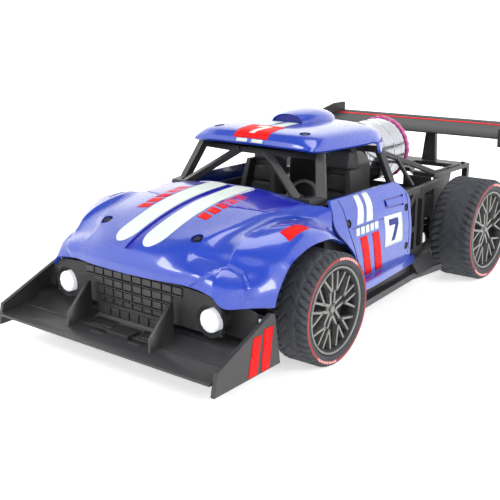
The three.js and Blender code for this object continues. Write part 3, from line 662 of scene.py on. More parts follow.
def ridge_depth(u, v):
    """How deep the hollows beside the shoulder and the fender crest lie, at a place in the rows."""
    rear = max(0, min(1, (len(HOOD_ROWS) - 1 - v) / 1.5))
    front = max(0, min(1, (v - 1.2) / 0.8))
    hollow = 0
    for away, depth in ((u - SHOULDER, 0.9), (CREST - u, 0.8)):
        if away > 0:
            part = away / 0.4
            hollow += depth * part * math.exp(1 - part) if part < 6 else 0
    return hollow * rear * front


def shaped_hood_grid():
    """The hood's rows as a dense grid, with the brow and the hollows beside the ridges sunk in."""
    along, across = 12, 10
    grid = surface(HOOD_ROWS, along, across, creases=(SHOULDER, CREST))
    inwards = towards(HOOD_MIDDLE)
    middle = len(grid[0]) // 2
    for r, row in enumerate(grid):
        for c, point in enumerate(row):
            depth = ridge_depth(abs(c - middle) / across, r / along) + brow_depth(point)
            row[c] = point + inwards(point) * depth
    return grid


# Screw wells; their cut faces are painted shade in dark blue.
def recess_cutters(tree, spots):
    return [
        pocket(tree, circle(RECESS, 20, (side * x, y)), DOWN, PAINTED_SHADE_AND_PRINT_BLUE, RECESS_DEPTH)
        for x, y in spots
        for side in (LEFT, RIGHT)
    ]


def hood():
    mesh = shell("hood", shaped_hood_grid(), SHELL, towards(HOOD_MIDDLE))
    made = piece("hood_shell_look", mesh, [BLUE, PAINTED_SHADE_DEEP_BLUE], slot="body_blue", stands_for=["hood_shell"])
    tree = tree_of(made)
    # The groove's cut faces are painted shade in deep blue.
    groove = [(0, -147.5), (0, -140), (0, -66)]
    cutters = [trench(tree, groove, DOWN, PAINTED_SHADE_DEEP_BLUE, width=4.6, depth=0.9)]
    cutters += recess_cutters(tree, HOOD_SCREWS)
    carve(made, cutters)
    return tree


def stripe_outline(side):
    """A stripe with a rounded front end, as an outline in (x, y)."""
    inner, outer = STRIPE
    middle, half = (inner + outer) / 2, (outer - inner) / 2
    nose = [
        (middle + half * math.cos(angle), STRIPE_FRONT_Y + 1.5 * half - 1.5 * half * math.sin(angle))
        for angle in [math.pi * i / 12 for i in range(13)]
    ]
    return on_side(side, [(outer, STRIPE_REAR_Y)] + nose + [(inner, STRIPE_REAR_Y)])


# Sheets on the hood: the red bars and the fender label are print, while the deep blue cowl panel and
# fender scallop are painted shade where the surface turns away from the light.
HOOD_PRINTS_AND_SHADE = {
    "cowl_painted_shade": (PAINTED_SHADE_DEEP_BLUE, [
        [(16.4, -98.5), (23.8, -99), (41.7, -91.3), (45, -86.5), (49.6, -66), (16.4, -66)],
    ]),
    "fender_scallop_painted_shade": (PAINTED_SHADE_DEEP_BLUE, [[
        (57, -106), (58, -96), (59.3, -86), (61.7, -74), (63.8, -63), (66.5, -70), (69, -80),
        (66.5, -87), (64.3, -92), (61.5, -100),
    ]]),
    "hood_bars": (RED, [
        [(17.4, y), (24.6, y - 1.4), (24.6, y + 4), (17.4, y + 5.4)]
        for y in (-115, -107.8, -100.6, -93.4, -86.2)
    ]),
    "fender_label": (RED, [[(63.4, -106.4), (69.6, -106.6), (68.6, -88), (63.6, -90)]]),
}


# Lays the stripes and print on the hood, and the sheets of painted shade.
def hood_prints_and_shade(tree):
    stripes = [stripe_outline(side) for side in (LEFT, RIGHT)]
    laid_on("hood_stripes", tree, stripes, DOWN, OFF_WHITE)
    for name, side in SIDES.items():
        for what, (material, outlines) in HOOD_PRINTS_AND_SHADE.items():
            sheets = [on_side(side, outline) for outline in outlines]
            laid_on(f"{what}_{name}", tree, sheets, DOWN, material)


ROOF_ROWS = [
    [(0, -50.5, 96.8), (15, -50.4, 96.7), (30, -50.2, 96.4), (38, -49.9, 96), (42, -49.6, 95.8),
     (43.5, -48.5, 95.6)],
    [(0, -48.5, 100), (15, -48.4, 99.9), (30, -48, 99.6), (38.5, -47, 98.8), (42.8, -46, 97.5),
     (44.3, -45, 95.3)],
    [(0, -43, 103.2), (15, -43, 103.1), (31, -42, 102.8), (39.5, -40, 101.5), (43.5, -39, 98.8),
     (45, -38, 95)],
    [(0, -25, 104.6), (15, -25, 104.5), (31, -25, 104), (40.5, -24, 102.3), (44.5, -23, 99),
     (46, -22, 94.8)],
    [(0, 0, 105), (15, 0, 104.9), (31, 0, 104.2), (41, 0, 102.2), (45.3, 0, 98.5), (46.8, 0, 94.5)],
    [(0, 20, 104.4), (15, 20, 104.2), (31.3, 20, 103.2), (41, 18, 101), (45.5, 16, 97), (47, 14, 94)],
    [(0, 30, 102), (15, 30, 101.8), (31, 29.5, 100.6), (40, 27.5, 98), (44.5, 24, 93),
     (46, 20, 87.5)],
    [(0, 34.5, 97.5), (15, 34.3, 97.3), (30, 34, 96), (38, 33, 94), (41.5, 31, 90), (43, 28, 86.5)],
]
ROOF_SCREWS = [(31.1, -39), (31.3, 21.5)]
SCOOP = dict(front=-13, middle=6, length=29, rear_length=24.5, width=15, base=104, height=8)


def roof():
    mesh = shell("roof", surface(ROOF_ROWS, along=10, across=8), SHELL, towards((0, -8, 50)))
    made = piece("roof_panel_look", mesh, [BLUE], slot="body_blue", stands_for=["roof_panel"])
    tree = tree_of(made)
    carve(made, recess_cutters(tree, ROOF_SCREWS))
    return tree


def roof_scoop(tree):
    """A low blister that follows the roof, cut off square at the front where it is open."""
    front, middle, width = (SCOOP[key] for key in ("front", "middle", "width"))
    rows, columns = 24, 32
    grid = []
    for i in range(rows + 1):
        y = front + (middle + SCOOP["rear_length"] - front) * i / rows
        length = SCOOP["length"] if y < middle else SCOOP["rear_length"]
        part = max(0.0, 1 - ((y - middle) / length) ** 2) ** 0.5
        row = []
        for j in range(columns + 1):
            angle = math.pi * j / columns
            x = width * part * math.cos(angle)
            low = min(SCOOP["base"], on_surface(tree, Vector((x, y, RAY_REACH)), DOWN)[0].z)
            z = low - 0.6 + (SCOOP["height"] * part + 0.4) * math.sin(angle) ** 0.8
            row.append(Vector((x, y, z)))
        grid.append(row)
    mesh = shell("roof_scoop", grid, 1.4, towards((0, middle, 96)))
    made = piece("roof_scoop", mesh, [BLUE], slot="body_blue")
    bevel(made, 0.3)
    # A dark blue plate just inside the open front: painted shade standing for the scoop's dark inside.
    mouth = [(-11.5, 103.5), (11.5, 103.5), (9, 107.8), (4, 109.8), (-4, 109.8), (-9, 107.8)]
    solid("roof_scoop_mouth_shade", [facing(mouth, front + 1.2, front + 2)], PAINTED_SHADE_AND_PRINT_BLUE, "body_blue")


def roof_prints(tree):
    laid_on("roof_number_box", tree, [rectangle(-12.3, 12.3, -49.2, -30.8)], DOWN, RED)
    digit = [
        rectangle(-4.6, 4.6, -36.8, -33.4),
        [(-2.6, -46.6), (1, -46.6), (4.6, -36.8), (1, -36.8)],
    ]
    laid_on("roof_number", tree, digit, DOWN, OFF_WHITE, RAISED_PRINT)
    stripes = [
        on_side(side, rectangle(1.6, 9.4, y0, y1))
        for side in (LEFT, RIGHT)
        for y0, y1 in ((-50.3, -49.4), (-30.6, -14.5))
    ]
    laid_on("roof_stripes", tree, stripes, DOWN, OFF_WHITE)


# The door's outline at each height: its front and rear edge, each as (x, y).
DOOR_LEVELS = [
    (23.5, (66.5, -34), (65, 27)),
    (32, (66.8, -36.5), (65.3, 27)),
    (40, (67, -41), (65.4, 27)),
    (47, (66.8, -48), (65, 27)),
    (54, (65.4, -55.2), (64, 27)),
    (60, (63.9, -58.3), (63.2, 27)),
    (65, (61.6, -56.2), (61.5, 24)),
    (70.4, (56.2, -51), (57, 20)),
]
SILL = [(64, -41), (73.5, -41.5), (73, -30), (70.5, 0), (68.2, 27), (66, 31), (64, 31)]
HANDLE = [(-3.1, 58.6), (18.6, 57.4), (19.4, 63.6), (-3.6, 64.2)]
SEAM_FRONT = [(-44.3, 69.6), (-46.3, 63), (-45.4, 55), (-43.2, 48), (-38.8, 38.3), (-33.5, 28)]
SEAM_REAR = [(23.2, 64), (24, 58), (24, 27)]
DOOR_SCREWS = [(-43.9, 57.7), (21.6, 55.3), (21, 31.9)]
DOOR_RECESS = 2.3
DOOR_RECESS_DEPTH = 1.2


def door(name, side):
    rows = [
        [
            (front[0] + (rear[0] - front[0]) * part, front[1] + (rear[1] - front[1]) * part, z)
            for part in (0, 0.33, 0.67, 1)
        ]
        for z, front, rear in DOOR_LEVELS
    ]
    grid = surface(rows, along=8, across=18, mirrored=False)
    grid = [[Vector((side * p.x, p.y, p.z)) for p in row] for row in grid]
    mesh = shell("door", grid, SHELL, lambda point: Vector((-side, 0, 0)))
    made = piece(
        f"door_panel_{name}_look", mesh, [BLUE], slot="body_blue", stands_for=["door_panel_" + name],
    )
    tree = tree_of(made)
    inwards = Vector((-side, 0, 0))
    cutters = [
        trench(tree, seam, inwards, PAINTED_SHADE_AND_PRINT_BLUE, width=0.7, depth=0.8) for seam in (SEAM_FRONT, SEAM_REAR)
    ]
    cutters += [
        trench(tree, [(-41.5, 54.2), (-6, 53.8)], inwards, PAINTED_SHADE_AND_PRINT_BLUE, width=0.4, depth=0.35),
        # The handle recess's cut faces are painted shade in deep blue.
        pocket(tree, HANDLE, inwards, PAINTED_SHADE_DEEP_BLUE, 0.7),
    ]
    # Screw wells whose cut faces are painted shade in the darker black.
    cutters += [
        pocket(tree, circle(DOOR_RECESS, 16, spot), inwards, DARK_AND_PAINTED_SHADE, DOOR_RECESS_DEPTH)
        for spot in DOOR_SCREWS
    ]
    carve(made, cutters)
    sill = solid("door_sill_" + name, [lying(on_side(side, SILL), 19.6, 24.4)], BLUE, "body_blue")
    bevel(sill, 1.1, 4)
    pull = [(-1.8, 59.6), (17.4, 58.6), (18, 62.4), (-2.2, 63.2)]
    handle = laid_on("door_handle_" + name, tree, [pull], inwards, BLUE, thickness=0.7)
    bevel(handle, 0.25)
    return tree


PLATE_MIDDLE_Y = 4.4


def door_prints(name, side, tree):
    inwards = Vector((-side, 0, 0))

    def sheet(what, outlines, material, thickness=PRINT):
        laid_on(f"door_{what}_{name}", tree, outlines, inwards, material, thickness)

    sheet("white_stripes", [
        [(-29, 69.8), (-24, 69.8), (-29.4, 55.4), (-36.6, 55.4)],
        [(-20.4, 69.8), (-14.8, 69.8), (-19, 55.4), (-26.4, 55.4)],
    ], OFF_WHITE)
    sheet("red_stripes", [
        [(-35.2, 48.2), (-27.8, 48.2), (-21, 25), (-28.2, 25)],
        [(-21.8, 48.2), (-14, 48.2), (-8.6, 25), (-16.6, 25)],
    ], RED)
    sheet("bar", [
        [(a, 49.6), (a + 3.9, 49.6), (a + 4.7, 53.8), (a + 0.8, 53.8)]
        for a in (-38.6, -33.4, -28.2, -23, -17.8)
    ], OFF_WHITE)
    sheet("number_plate", [[(-6.6, 36.6), (15.2, 36.2), (15.2, 53.8), (-6.2, 54.6)]], OFF_WHITE)
    digit = [
        [(-1.2, 48.4), (10, 48), (10, 51.6), (-1.2, 52)],
        [(1, 39), (5, 39), (10, 48), (6, 48.1)],
    ]
    if side == RIGHT:
        digit = [[(2 * PLATE_MIDDLE_Y - y, z) for y, z in part] for part in digit]
    sheet("number", digit, PAINTED_SHADE_AND_PRINT_BLUE, RAISED_PRINT)


# ---- Small parts ----

PAD_SIDES = 28
PAD_POWER = 0.35


def seat_pad(name, centre, half, tilt):
    """A soft-edged pad: a superellipsoid with flat faces and crowned edges, leaning by tilt about X."""
    def bent(value):
        return math.copysign(abs(value) ** PAD_POWER, value)
    turn = Matrix.Rotation(tilt, 3, "X")
    points, faces = [], []
    rings = PAD_SIDES // 2
    for i in range(rings + 1):
        up = math.pi * i / rings - math.pi / 2
        for j in range(PAD_SIDES):
            angle = 2 * math.pi * j / PAD_SIDES
            spot = Vector((
                half[0] * bent(math.cos(up)) * bent(math.cos(angle)),
                half[1] * bent(math.cos(up)) * bent(math.sin(angle)),
                half[2] * bent(math.sin(up)),
            ))
            points.append(turn @ spot + Vector(centre))
    for i in range(rings):
        for j in range(PAD_SIDES):
            a, b = i * PAD_SIDES + j, i * PAD_SIDES + (j + 1) % PAD_SIDES
            faces.append((a, b, b + PAD_SIDES, a + PAD_SIDES))
    mesh = mesh_from(name, points, faces)
    work = bmesh.new()
    work.from_mesh(mesh)
    bmesh.ops.remove_doubles(work, verts=work.verts, dist=MERGE_DISTANCE)
    work.to_mesh(mesh)
    work.free()
    return piece(name, mesh, [SEAT], slot="seat_black", sharp=60)


def screw_parts(centre, normal, radius):
    """A dished screw head with a cross slot, as points and faces."""
    turn = Vector(normal).to_track_quat("Z", "Y").to_matrix()
    centre = Vector(centre)

    def to_place(a, b, level):
        return centre + turn @ Vector((a, b, level))

    gap, low, top = 0.13 * radius, 0.35 * radius, 0.75 * radius
    corner = math.asin(gap / radius)
    arc = [corner + (math.pi / 2 - 2 * corner) * i / 5 for i in range(6)]
    quarter = [(gap, gap)] + [(radius * math.cos(a), radius * math.sin(a)) for a in arc]
    parts = [prism(circle(radius, 20), 0, low, to_place)]
    for k in range(4):
        c, s = round(math.cos(k * math.pi / 2)), round(math.sin(k * math.pi / 2))
        outline = [(c * a - s * b, s * a + c * b) for a, b in quarter]
        parts.append(prism(outline, low, top, to_place))
    return gathered(parts)


def screws(name, spots, radius):
    parts = [screw_parts(centre, normal, radius) for centre, normal in spots]
    bevel(solid(name, parts, SCREW_STEEL, "bright_steel"), 0.08 * radius)


def sunk(tree, spots, depth, direction=DOWN):
    """Screw places at the bottom of recesses in a surface."""
    to_space = flat_to_space(direction)
    found = [on_surface(tree, to_space(a, b), direction) for a, b in spots]
    return [(spot - normal * depth, normal) for spot, normal in found]


def fixings():
    both = (LEFT, RIGHT)
    for name, tree, places in (("hood", hood_tree, HOOD_SCREWS), ("roof", roof_tree, ROOF_SCREWS)):
        spots = [(side * x, y) for x, y in places for side in both]
        screws(name + "_screws", sunk(tree, spots, RECESS_DEPTH), 1.7)
    for name, side in SIDES.items():
        spots = sunk(door_trees[name], DOOR_SCREWS, DOOR_RECESS_DEPTH, Vector((-side, 0, 0)))
        screws("door_screws_" + name, spots, 1.3)
    deck = [((side * 43, y, 63.3), UP) for side in both for y in (98, 120, 145)]
    screws("deck_screws", deck, 1.5)
    under = [(27, -120), (50, -38), (50, 38), (40, 112)]
    screws("underside_screws", [((side * x, y, 7.5), DOWN) for side in both for x, y in under], 1.8)


# ---- Wheels ----

FRONT = dict(y=-86, z=23.95, radius=29.45, width=22.7, outer=85.5, flange=22.9, barrel=20.9)
REAR = dict(y=103.3, z=28.06, radius=33.56, width=28.4, outer=84.4, flange=26, barrel=24)
TREAD_BLOCKS = 44
STEPS_PER_BLOCK = 6
RING = (0.885, 0.928)


def wheel_place(size, side):
    inner = size["outer"] - size["width"]

    def to_place(along, radius, angle):
        return (
            side * (inner + along),
            size["y"] + radius * math.sin(angle),
            size["z"] + radius * math.cos(angle),
        )
    return to_place


def tread_depth(across, angle):
    """How deep the tread is cut, for a place across the tread from -1 to 1."""
    blocks = TREAD_BLOCKS * angle / (2 * math.pi)
    if abs(across) > 0.5:
        return 1.1 if (blocks + 1.4 * abs(across)) % 1 < 0.25 else 0
    if 0.42 < abs(across) <= 0.5:
        return 0.45
    return 0.5 if (blocks / 2 + 1.6 * abs(across)) % 1 < 0.14 else 0


def tyre(name, size, side):
    width, radius, flange = size["width"], size["radius"], size["flange"]
    ring = [part * radius for part in RING]
    side_wall = [
        (2.9, size["barrel"] + 0.3), (2.9, flange + 0.2), (1.3, flange + 0.35), (0.7, flange + 1),
        (0.4, ring[0] - 0.3), (0.15, ring[0]), (0.12, ring[1]), (0.4, ring[1] + 0.3),
        (0.3, radius - 1.8), (0.9, radius - 1), (1.8, radius - 0.35),
    ]
    tread = [(2.6 + (width - 5.2) * i / 24, radius) for i in range(25)]
    profile = side_wall + tread + [(width - a, r) for a, r in reversed(side_wall)]
    ring_face = len(profile) - 7
    to_wheel = wheel_place(size, side)

    def to_place(along, r, angle):
        across = 2 * along / width - 1
        cut = tread_depth(across, angle) if r > radius - 1.2 else 0
        return to_wheel(along, r - cut, angle)

    def tag(i, step):
        if i != ring_face:
            return 0
        dashed = step % (22 * STEPS_PER_BLOCK) < 5 * STEPS_PER_BLOCK and step % 4 != 0
        return 2 if dashed else 1

    mesh = mesh_from(name, *lathe(profile, TREAD_BLOCKS * STEPS_PER_BLOCK, to_place, tag))
    piece(name + "_look", mesh, [RUBBER, RING_RED, PINK], BODY_OF[name], "tyre_rubber", [name], sharp=50)


def bar_outline(start, end, width0, width1):
    """A tapered bar between two (radius, angle) places, as an outline in the wheel's plane."""
    a, b = Vector(polar(*start)), Vector(polar(*end))
    across = (b - a).orthogonal().normalized()
    aside0, aside1 = across * width0 / 2, across * width1 / 2
    return [tuple(corner) for corner in (a - aside0, b - aside1, b + aside1, a + aside0)]


def spokes(size, to_plane):
    """Five twin spokes, each of which forks towards the rim."""
    width, inside = size["width"], size["barrel"] - 0.6
    parts = []
    for k in range(5):
        middle = 2 * math.pi * k / 5
        for side in (LEFT, RIGHT):
            root, fork = (3.4, middle + side * 0.5), (0.5 * inside, middle + side * 0.2)
            tips = [(inside, middle + side * 0.13), (inside, middle + side * 0.5)]
            parts.append(prism(bar_outline(root, fork, 1.7, 1.4), width - 6.2, width - 3.6, to_plane))
            for tip in tips:
                parts.append(prism(bar_outline(fork, tip, 1.3, 1.2), width - 5.4, width - 2.4, to_plane))
    return parts


def rim(name, size, side):
    width, flange, barrel = size["width"], size["flange"], size["barrel"]
    inside = barrel - 1.4
    profile = [
        (1.2, inside), (1.2, flange - 0.3), (1.6, flange), (2.4, flange), (2.8, barrel),
        (width - 2.8, barrel), (width - 2.4, flange - 0.2), (width - 2.1, flange), (width - 1.1, flange),
        (width - 0.8, flange - 0.3), (width - 0.8, flange - 0.9), (width - 1.3, flange - 1.3),
        (width - 2.8, inside + 0.9), (width - 6.4, inside + 0.2),
    ]
    # The steep inner faces of the barrel take the darker black: painted shade.
    shaded_inner_faces = (0, len(profile) - 3, len(profile) - 2, len(profile) - 1)
    to_place = wheel_place(size, side)
    inner = size["outer"] - width

    def to_plane(a, b, level):
        return (side * (inner + level), size["y"] + a, size["z"] + b)

    hub = [
        (width - 12, 0.01), (width - 12, 4), (width - 5, 4), (width - 4.4, 3.6), (width - 4.4, 2),
        (width - 3.4, 1.9), (width - 3, 1.4), (width - 2.9, 0.01),
    ]
    lugs = [
        prism(circle(0.45, 10, polar(2.8, a)), width - 4.3, width - 3.5, to_plane)
        for a in [2 * math.pi * (k + 0.5) / 5 for k in range(5)]
    ]
    barrel_part = lathe(profile, 96, to_place, lambda i, step: 1 if i in shaded_inner_faces else 0)
    parts = [barrel_part, lathe(hub, 32, to_place)] + spokes(size, to_plane) + lugs
    mesh = mesh_from(name, *gathered(parts))
    made = piece(name + "_look", mesh, [GUNMETAL, DARK_AND_PAINTED_SHADE], BODY_OF[name], "rim_gunmetal", [name])
    bevel(made, 0.25)


def brake_disc(name, size, side):
    """A dark disc behind the spokes, which turns with the rim."""
    back, front = size["width"] - 9.6, size["width"] - 8.6
    bore, radius = 5, size["barrel"] - 3.4
    profile = [(back, bore), (back, radius), (front, radius), (front, bore)]
    disc = lathe(profile, 64, wheel_place(size, side))
    bevel(solid("brake_disc_" + name, [disc], DARK_AND_PAINTED_SHADE, None, body=BODY_OF["rim_" + name]), 0.2)


def wheels():
    for axle, size in (("front", FRONT), ("rear", REAR)):
        for side_name, side in SIDES.items():
            name = f"{axle}_{side_name}"
            tyre("tyre_" + name, size, side)
            rim("rim_" + name, size, side)
            brake_disc(name, size, side)


# ---- Nose ----

LAMP_PLACE = dict(x=50.9, y=-146.4, z=27.6, radius=5.7)
LAMP_HOLE = 8.1


def grille():
    """A plate with a hole for each headlight, and rows of raised tiles between them."""
    outline = [(36, 21), (58.5, 21), (58.5, 34.2), (54.5, 38.5), (50, 40.4), (34, 41.5)]
    plate = facing(whole(outline), -142.6, -144.9)
    # The plate takes the darker black: painted shade under the hood's nose.
    made = solid("front_grille_look", [plate], DARK_AND_PAINTED_SHADE, stands_for=["front_grille"])
    holes = [circle(LAMP_HOLE, 32, (side * LAMP_PLACE["x"], LAMP_PLACE["z"])) for side in (LEFT, RIGHT)]
    carve(made, [cutter(*facing(hole, -150, -140), DARK_AND_PAINTED_SHADE) for hole in holes])
    bevel(made, 0.3)
    parts = []
    pitch_x, pitch_z, base_z = 6.9, 5.15, 20.9
    for row, half_columns in enumerate((4, 4, 4, 5)):
        z = base_z + row * pitch_z
        reach = half_columns * pitch_x
        parts.append(box(-reach, reach, -146.2, -144.8, z - 0.35, z + 0.35))
        for column in range(-half_columns, half_columns):
            x = (column + 0.5) * pitch_x
            parts.append(box(x - 3, x + 3, -145.8, -144.8, z + 0.8, z + pitch_z - 0.8))
    bevel(solid("grille_tiles", parts, TRIM), 0.35, 3)


def headlight(name, side):
    x, y, z, radius = (LAMP_PLACE[key] for key in ("x", "y", "z", "radius"))

    def to_place(along, r, angle):
        return (side * (x + r * math.sin(angle)), y - along, z + r * math.cos(angle))

    def to_lens(along, r, angle):
        facet = 0.3 * math.cos(12 * angle) * math.sin(math.pi * r / radius)
        return to_place(along + (facet if along > -1.6 else 0), r, angle)

    dome = [(-7.4, 0.01), (-7.4, radius)]
    dome += [
        (-1.6 + 1.6 * math.sin(a), radius * math.cos(a)) for a in [math.pi * i / 20 for i in range(10)]
    ]
    dome.append((0, 0.01))
    node = "headlight_lens_" + name
    solid(node + "_look", [lathe(dome, 96, to_lens)], LAMP, "lamp_lens", stands_for=[node])
    # The bowl round the lens takes the darker black: painted shade in the recess under the brow.
    bowl = [
        (-1.6, 8.3), (-2.4, 8.3), (-6.4, radius + 1.4), (-9.4, radius + 1.4), (-9.4, radius + 0.3),
        (-5.6, radius + 0.3),
    ]
    solid("headlight_bowl_" + name, [lathe(bowl, 48, to_place)], DARK_AND_PAINTED_SHADE)


NOSE_LINER = [(39, 18.7), (72.6, 18.7), (72.6, 33), (66, 35.6), (60, 44.5), (39, 46)]
SPLITTER_PATCHES = [
    rectangle(-14.4, -5.6, -162.4, -158.4),
    rectangle(12, 20.8, -162.4, -158.4),
    rectangle(-22, -6, -155.8, -149.6),
    rectangle(12.6, 22, -155.8, -149.6),
]
ENDPLATE_STRIPES = [
    [(-148.8, 6.6), (-142, 6.6), (-138.4, 25.2), (-144.8, 25.2)],
    [(-139, 6.6), (-132.6, 6.6), (-129.6, 27.2), (-136.6, 27.2)],
]


def splitter():
    """The floor with its middle cut down and lips on it, the bumper, the liners and the end plates."""
    floor = rounded_copy("front_splitter", 0.4)
    above_floor = [
        (-160, 13.6), (-156.9, 13.6), (-152, 14.1), (-147.2, 16.5), (-147.2, 26), (-160, 26),
    ]
    carve(floor, [cutter(*sideways(above_floor, -25, 25), TRIM)])
    rounded_copy("front_bumper", 0.5)
    lips = [box(-74, 74, -157.6, -156.4, 12.6, 14), box(-4.3, 10.8, -160.4, -150, 12.6, 15)]
    lips += [box(x, x + 5.9, -148.1, -147, 17, 21.2) for x in (-20.4, -13.5, -6.6, 0.3, 7.2, 14.1)]
    bevel(solid("splitter_lips", lips, TRIM), 0.35, 3)
    # The liners take the darker black: painted shade beside the headlights.
    for name, side in SIDES.items():
        liner = facing(on_side(side, NOSE_LINER), -135.8, -134.6)
        bevel(solid("nose_liner_" + name, [liner], DARK_AND_PAINTED_SHADE), 0.3)
    laid_on("splitter_patches", tree_of(floor), SPLITTER_PATCHES, DOWN, DARK_AND_PAINTED_SHADE, slot="trim_black")
    for name, side in SIDES.items():
        plate = tree_of(rounded_copy("splitter_endplate_" + name, 0.35))
        inwards = Vector((-side, 0, 0))
        laid_on(
            "endplate_stripes_" + name, plate, ENDPLATE_STRIPES, inwards, RED, THIN_PRINT, "trim_black",
        )


# ---- Cab ----

SEAT_MIDDLE_X = 28
SEAT_TILT = -0.105
TAPER = dict(foot=56, rise=34, share=0.45)
PADS = [(47.5, 5.2, 10), (58.4, 5.2, 10), (69.2, 5.2, 9.4)]
PILLAR = dict(foot=72, rise=21, inner=36, out=2.4, back=4.5)


def seat(name, side):
    """The CAD seat, narrowed towards the top, with pads on its back, headrest and base."""
    shape = rounded_copy("seat_" + name, 1.1, segments=4)
    x = side * SEAT_MIDDLE_X
    for vertex in shape.data.vertices:
        up = vertex.co.z / MM - LIFT
        if up > TAPER["foot"]:
            narrow = 1 - TAPER["share"] * (up - TAPER["foot"]) / TAPER["rise"]
            vertex.co.x = (x + (vertex.co.x / MM - x) * narrow) * MM
    for i, (z, half_z, half_x) in enumerate(PADS):
        y = -1.3 - (z - 42) * SEAT_TILT
        seat_pad(f"seat_back_pad{i}_{name}", (x, y, z), (half_x, 1.7, half_z), SEAT_TILT)
    seat_pad(f"seat_headrest_{name}", (x, 3.6, 83), (8, 3.2, 6), SEAT_TILT)
    for i, y in enumerate((-26, -15)):
        seat_pad(f"seat_base_pad{i}_{name}", (x, y, 38.6), (9.8, 4.9, 1.4), 0.09)


def windscreen_frame():
    """The frame, its pillars leaning back and outwards to the roof's edge."""
    frame_look = rounded_copy("windscreen_frame", 0.8, segments=3)
    for vertex in frame_look.data.vertices:
        x, up = vertex.co.x / MM, vertex.co.z / MM - LIFT
        lean = max(0, min(1, (up - PILLAR["foot"]) / PILLAR["rise"]))
        if abs(x) > PILLAR["inner"]:
            vertex.co.x += math.copysign(PILLAR["out"] * lean, x) * MM
            vertex.co.y += PILLAR["back"] * lean * MM


def rear_cage():
    """Two pillars, the bar between them and a thin stay back to each side of the deck."""
    bars = [strut((-41, 24, 88), (41, 24, 88), 4, 4)]
    for side in (LEFT, RIGHT):
        bars += [
            strut((side * 53.4, 23.4, 65), (side * 41.4, 25, 88.4), 4.6, 4),
            strut((side * 49, 23.4, 65), (side * 58, 23.4, 65), 5, 3.4),
            strut((side * 38, 24.4, 87.6), (side * 45, 94.6, 64), 3.2, 3.4),
            strut((side * 41, 49, 79.2), (side * 52.4, 51, 62), 2.6, 2.6),
        ]
    bevel(solid("rear_cage_look", bars, TRIM, stands_for=["rear_cage"]), 0.7, 3)


def arch_liner(name, side):
    """The inner wall of a front wheel arch, over the steering arms."""
    outline = [(-126, 43), (-120, 52), (-100, 57), (-74, 59), (-57, 60), (-57, 43)]
    # The darker black here is painted shade inside the arch.
    bevel(solid("arch_liner_" + name, [sideways(outline, side * 39.6, side * 38.2)], DARK_AND_PAINTED_SHADE), 0.3)


def cab():
    for name, side in SIDES.items():
        seat(name, side)
        arch_liner(name, side)
        rounded_copy("side_truss_" + name, 0.5)
    windscreen_frame()
    rear_cage()
    rounded_copy("cabin_tub", 0.5)
    rounded_copy("dashboard", 0.8, segments=3)
    rounded_copy("steering_wheel", 0.4, SEAT)
    dials = []
    for x in (22, 34):
        def to_place(a, b, level, x=x):
            return (x + a, -51 + b * 0.9, 68 + level + b * 0.25)
        dials.append(prism(circle(3.4, 24), -0.6, 1.1, to_place))
    bevel(solid("dash_dials", dials, DARK_AND_PAINTED_SHADE), 0.3)


# ---- Tail ----

def tail():
    for node in ("rear_deck", "rear_bumper", "wing_pylon_left", "wing_pylon_right"):
        rounded_copy(node, 0.5)
    for node in ("rear_side_plate_left", "rear_side_plate_right"):
        rounded_copy(node, 0.35)
    # The wing takes the darker black: painted shade.
    wing = rounded_copy("rear_wing", 0.35, DARK_AND_PAINTED_SHADE)
    tree = tree_of(wing)
    for name, material, y0, y1 in (("red_stripe", RED, 160.6, 164), ("dark_band", DARK_AND_PAINTED_SHADE, 164, 171.6)):
        band = rectangle(-74.6, 74.6, y0, y1)
        laid_on("wing_" + name, tree, [band], DOWN, material, THIN_PRINT, "trim_black")
    ribs = [box(side * 43.6 - 0.8, side * 43.6 + 0.8, 97, 137, 60.9, 64.1) for side in (LEFT, RIGHT)]
    bevel(solid("deck_ribs", ribs, TRIM), 0.3)
    engine_cover()


# On each side of the engine cover: x, y and z ranges of its rail, its box and its side plate.
COVER_SIDES = [
    ((30, 33), (27, 92), (49, 53.4)),
    ((27.4, 45), (27, 47.6), (49, 60)),
    ((45.8, 47.4), (57, 92.6), (35, 48)),
]


def engine_cover():
    """The dark cover under the nozzle, cut away round the tank, and what stands on and beside it."""
    outline = whole([(26, 45.4), (26, 25.6), (47.4, 25.6), (47.4, 92.6)])
    parts = [lying(outline, 47.2, 49.6)]
    parts += [box(-45, 45, y, y + 2, 49, 51.6) for y in (50, 58, 66, 74, 82, 90)]
    for side in (LEFT, RIGHT):
        for xs, ys, zs in COVER_SIDES:
            parts.append(box(*sorted(side * x for x in xs), *ys, *zs))
    half = [(24, 54), (24, 61), (45, 61), (45, 49)]
    parts.append(facing(on_side(RIGHT, reversed(half)) + half, 90.8, 92.2))
    bevel(solid("engine_cover", parts, DARK_AND_PAINTED_SHADE), 0.4)


# ---- Spray unit ----

NOZZLE = dict(z=76, radius=21, front=44.8, rear=99.3)


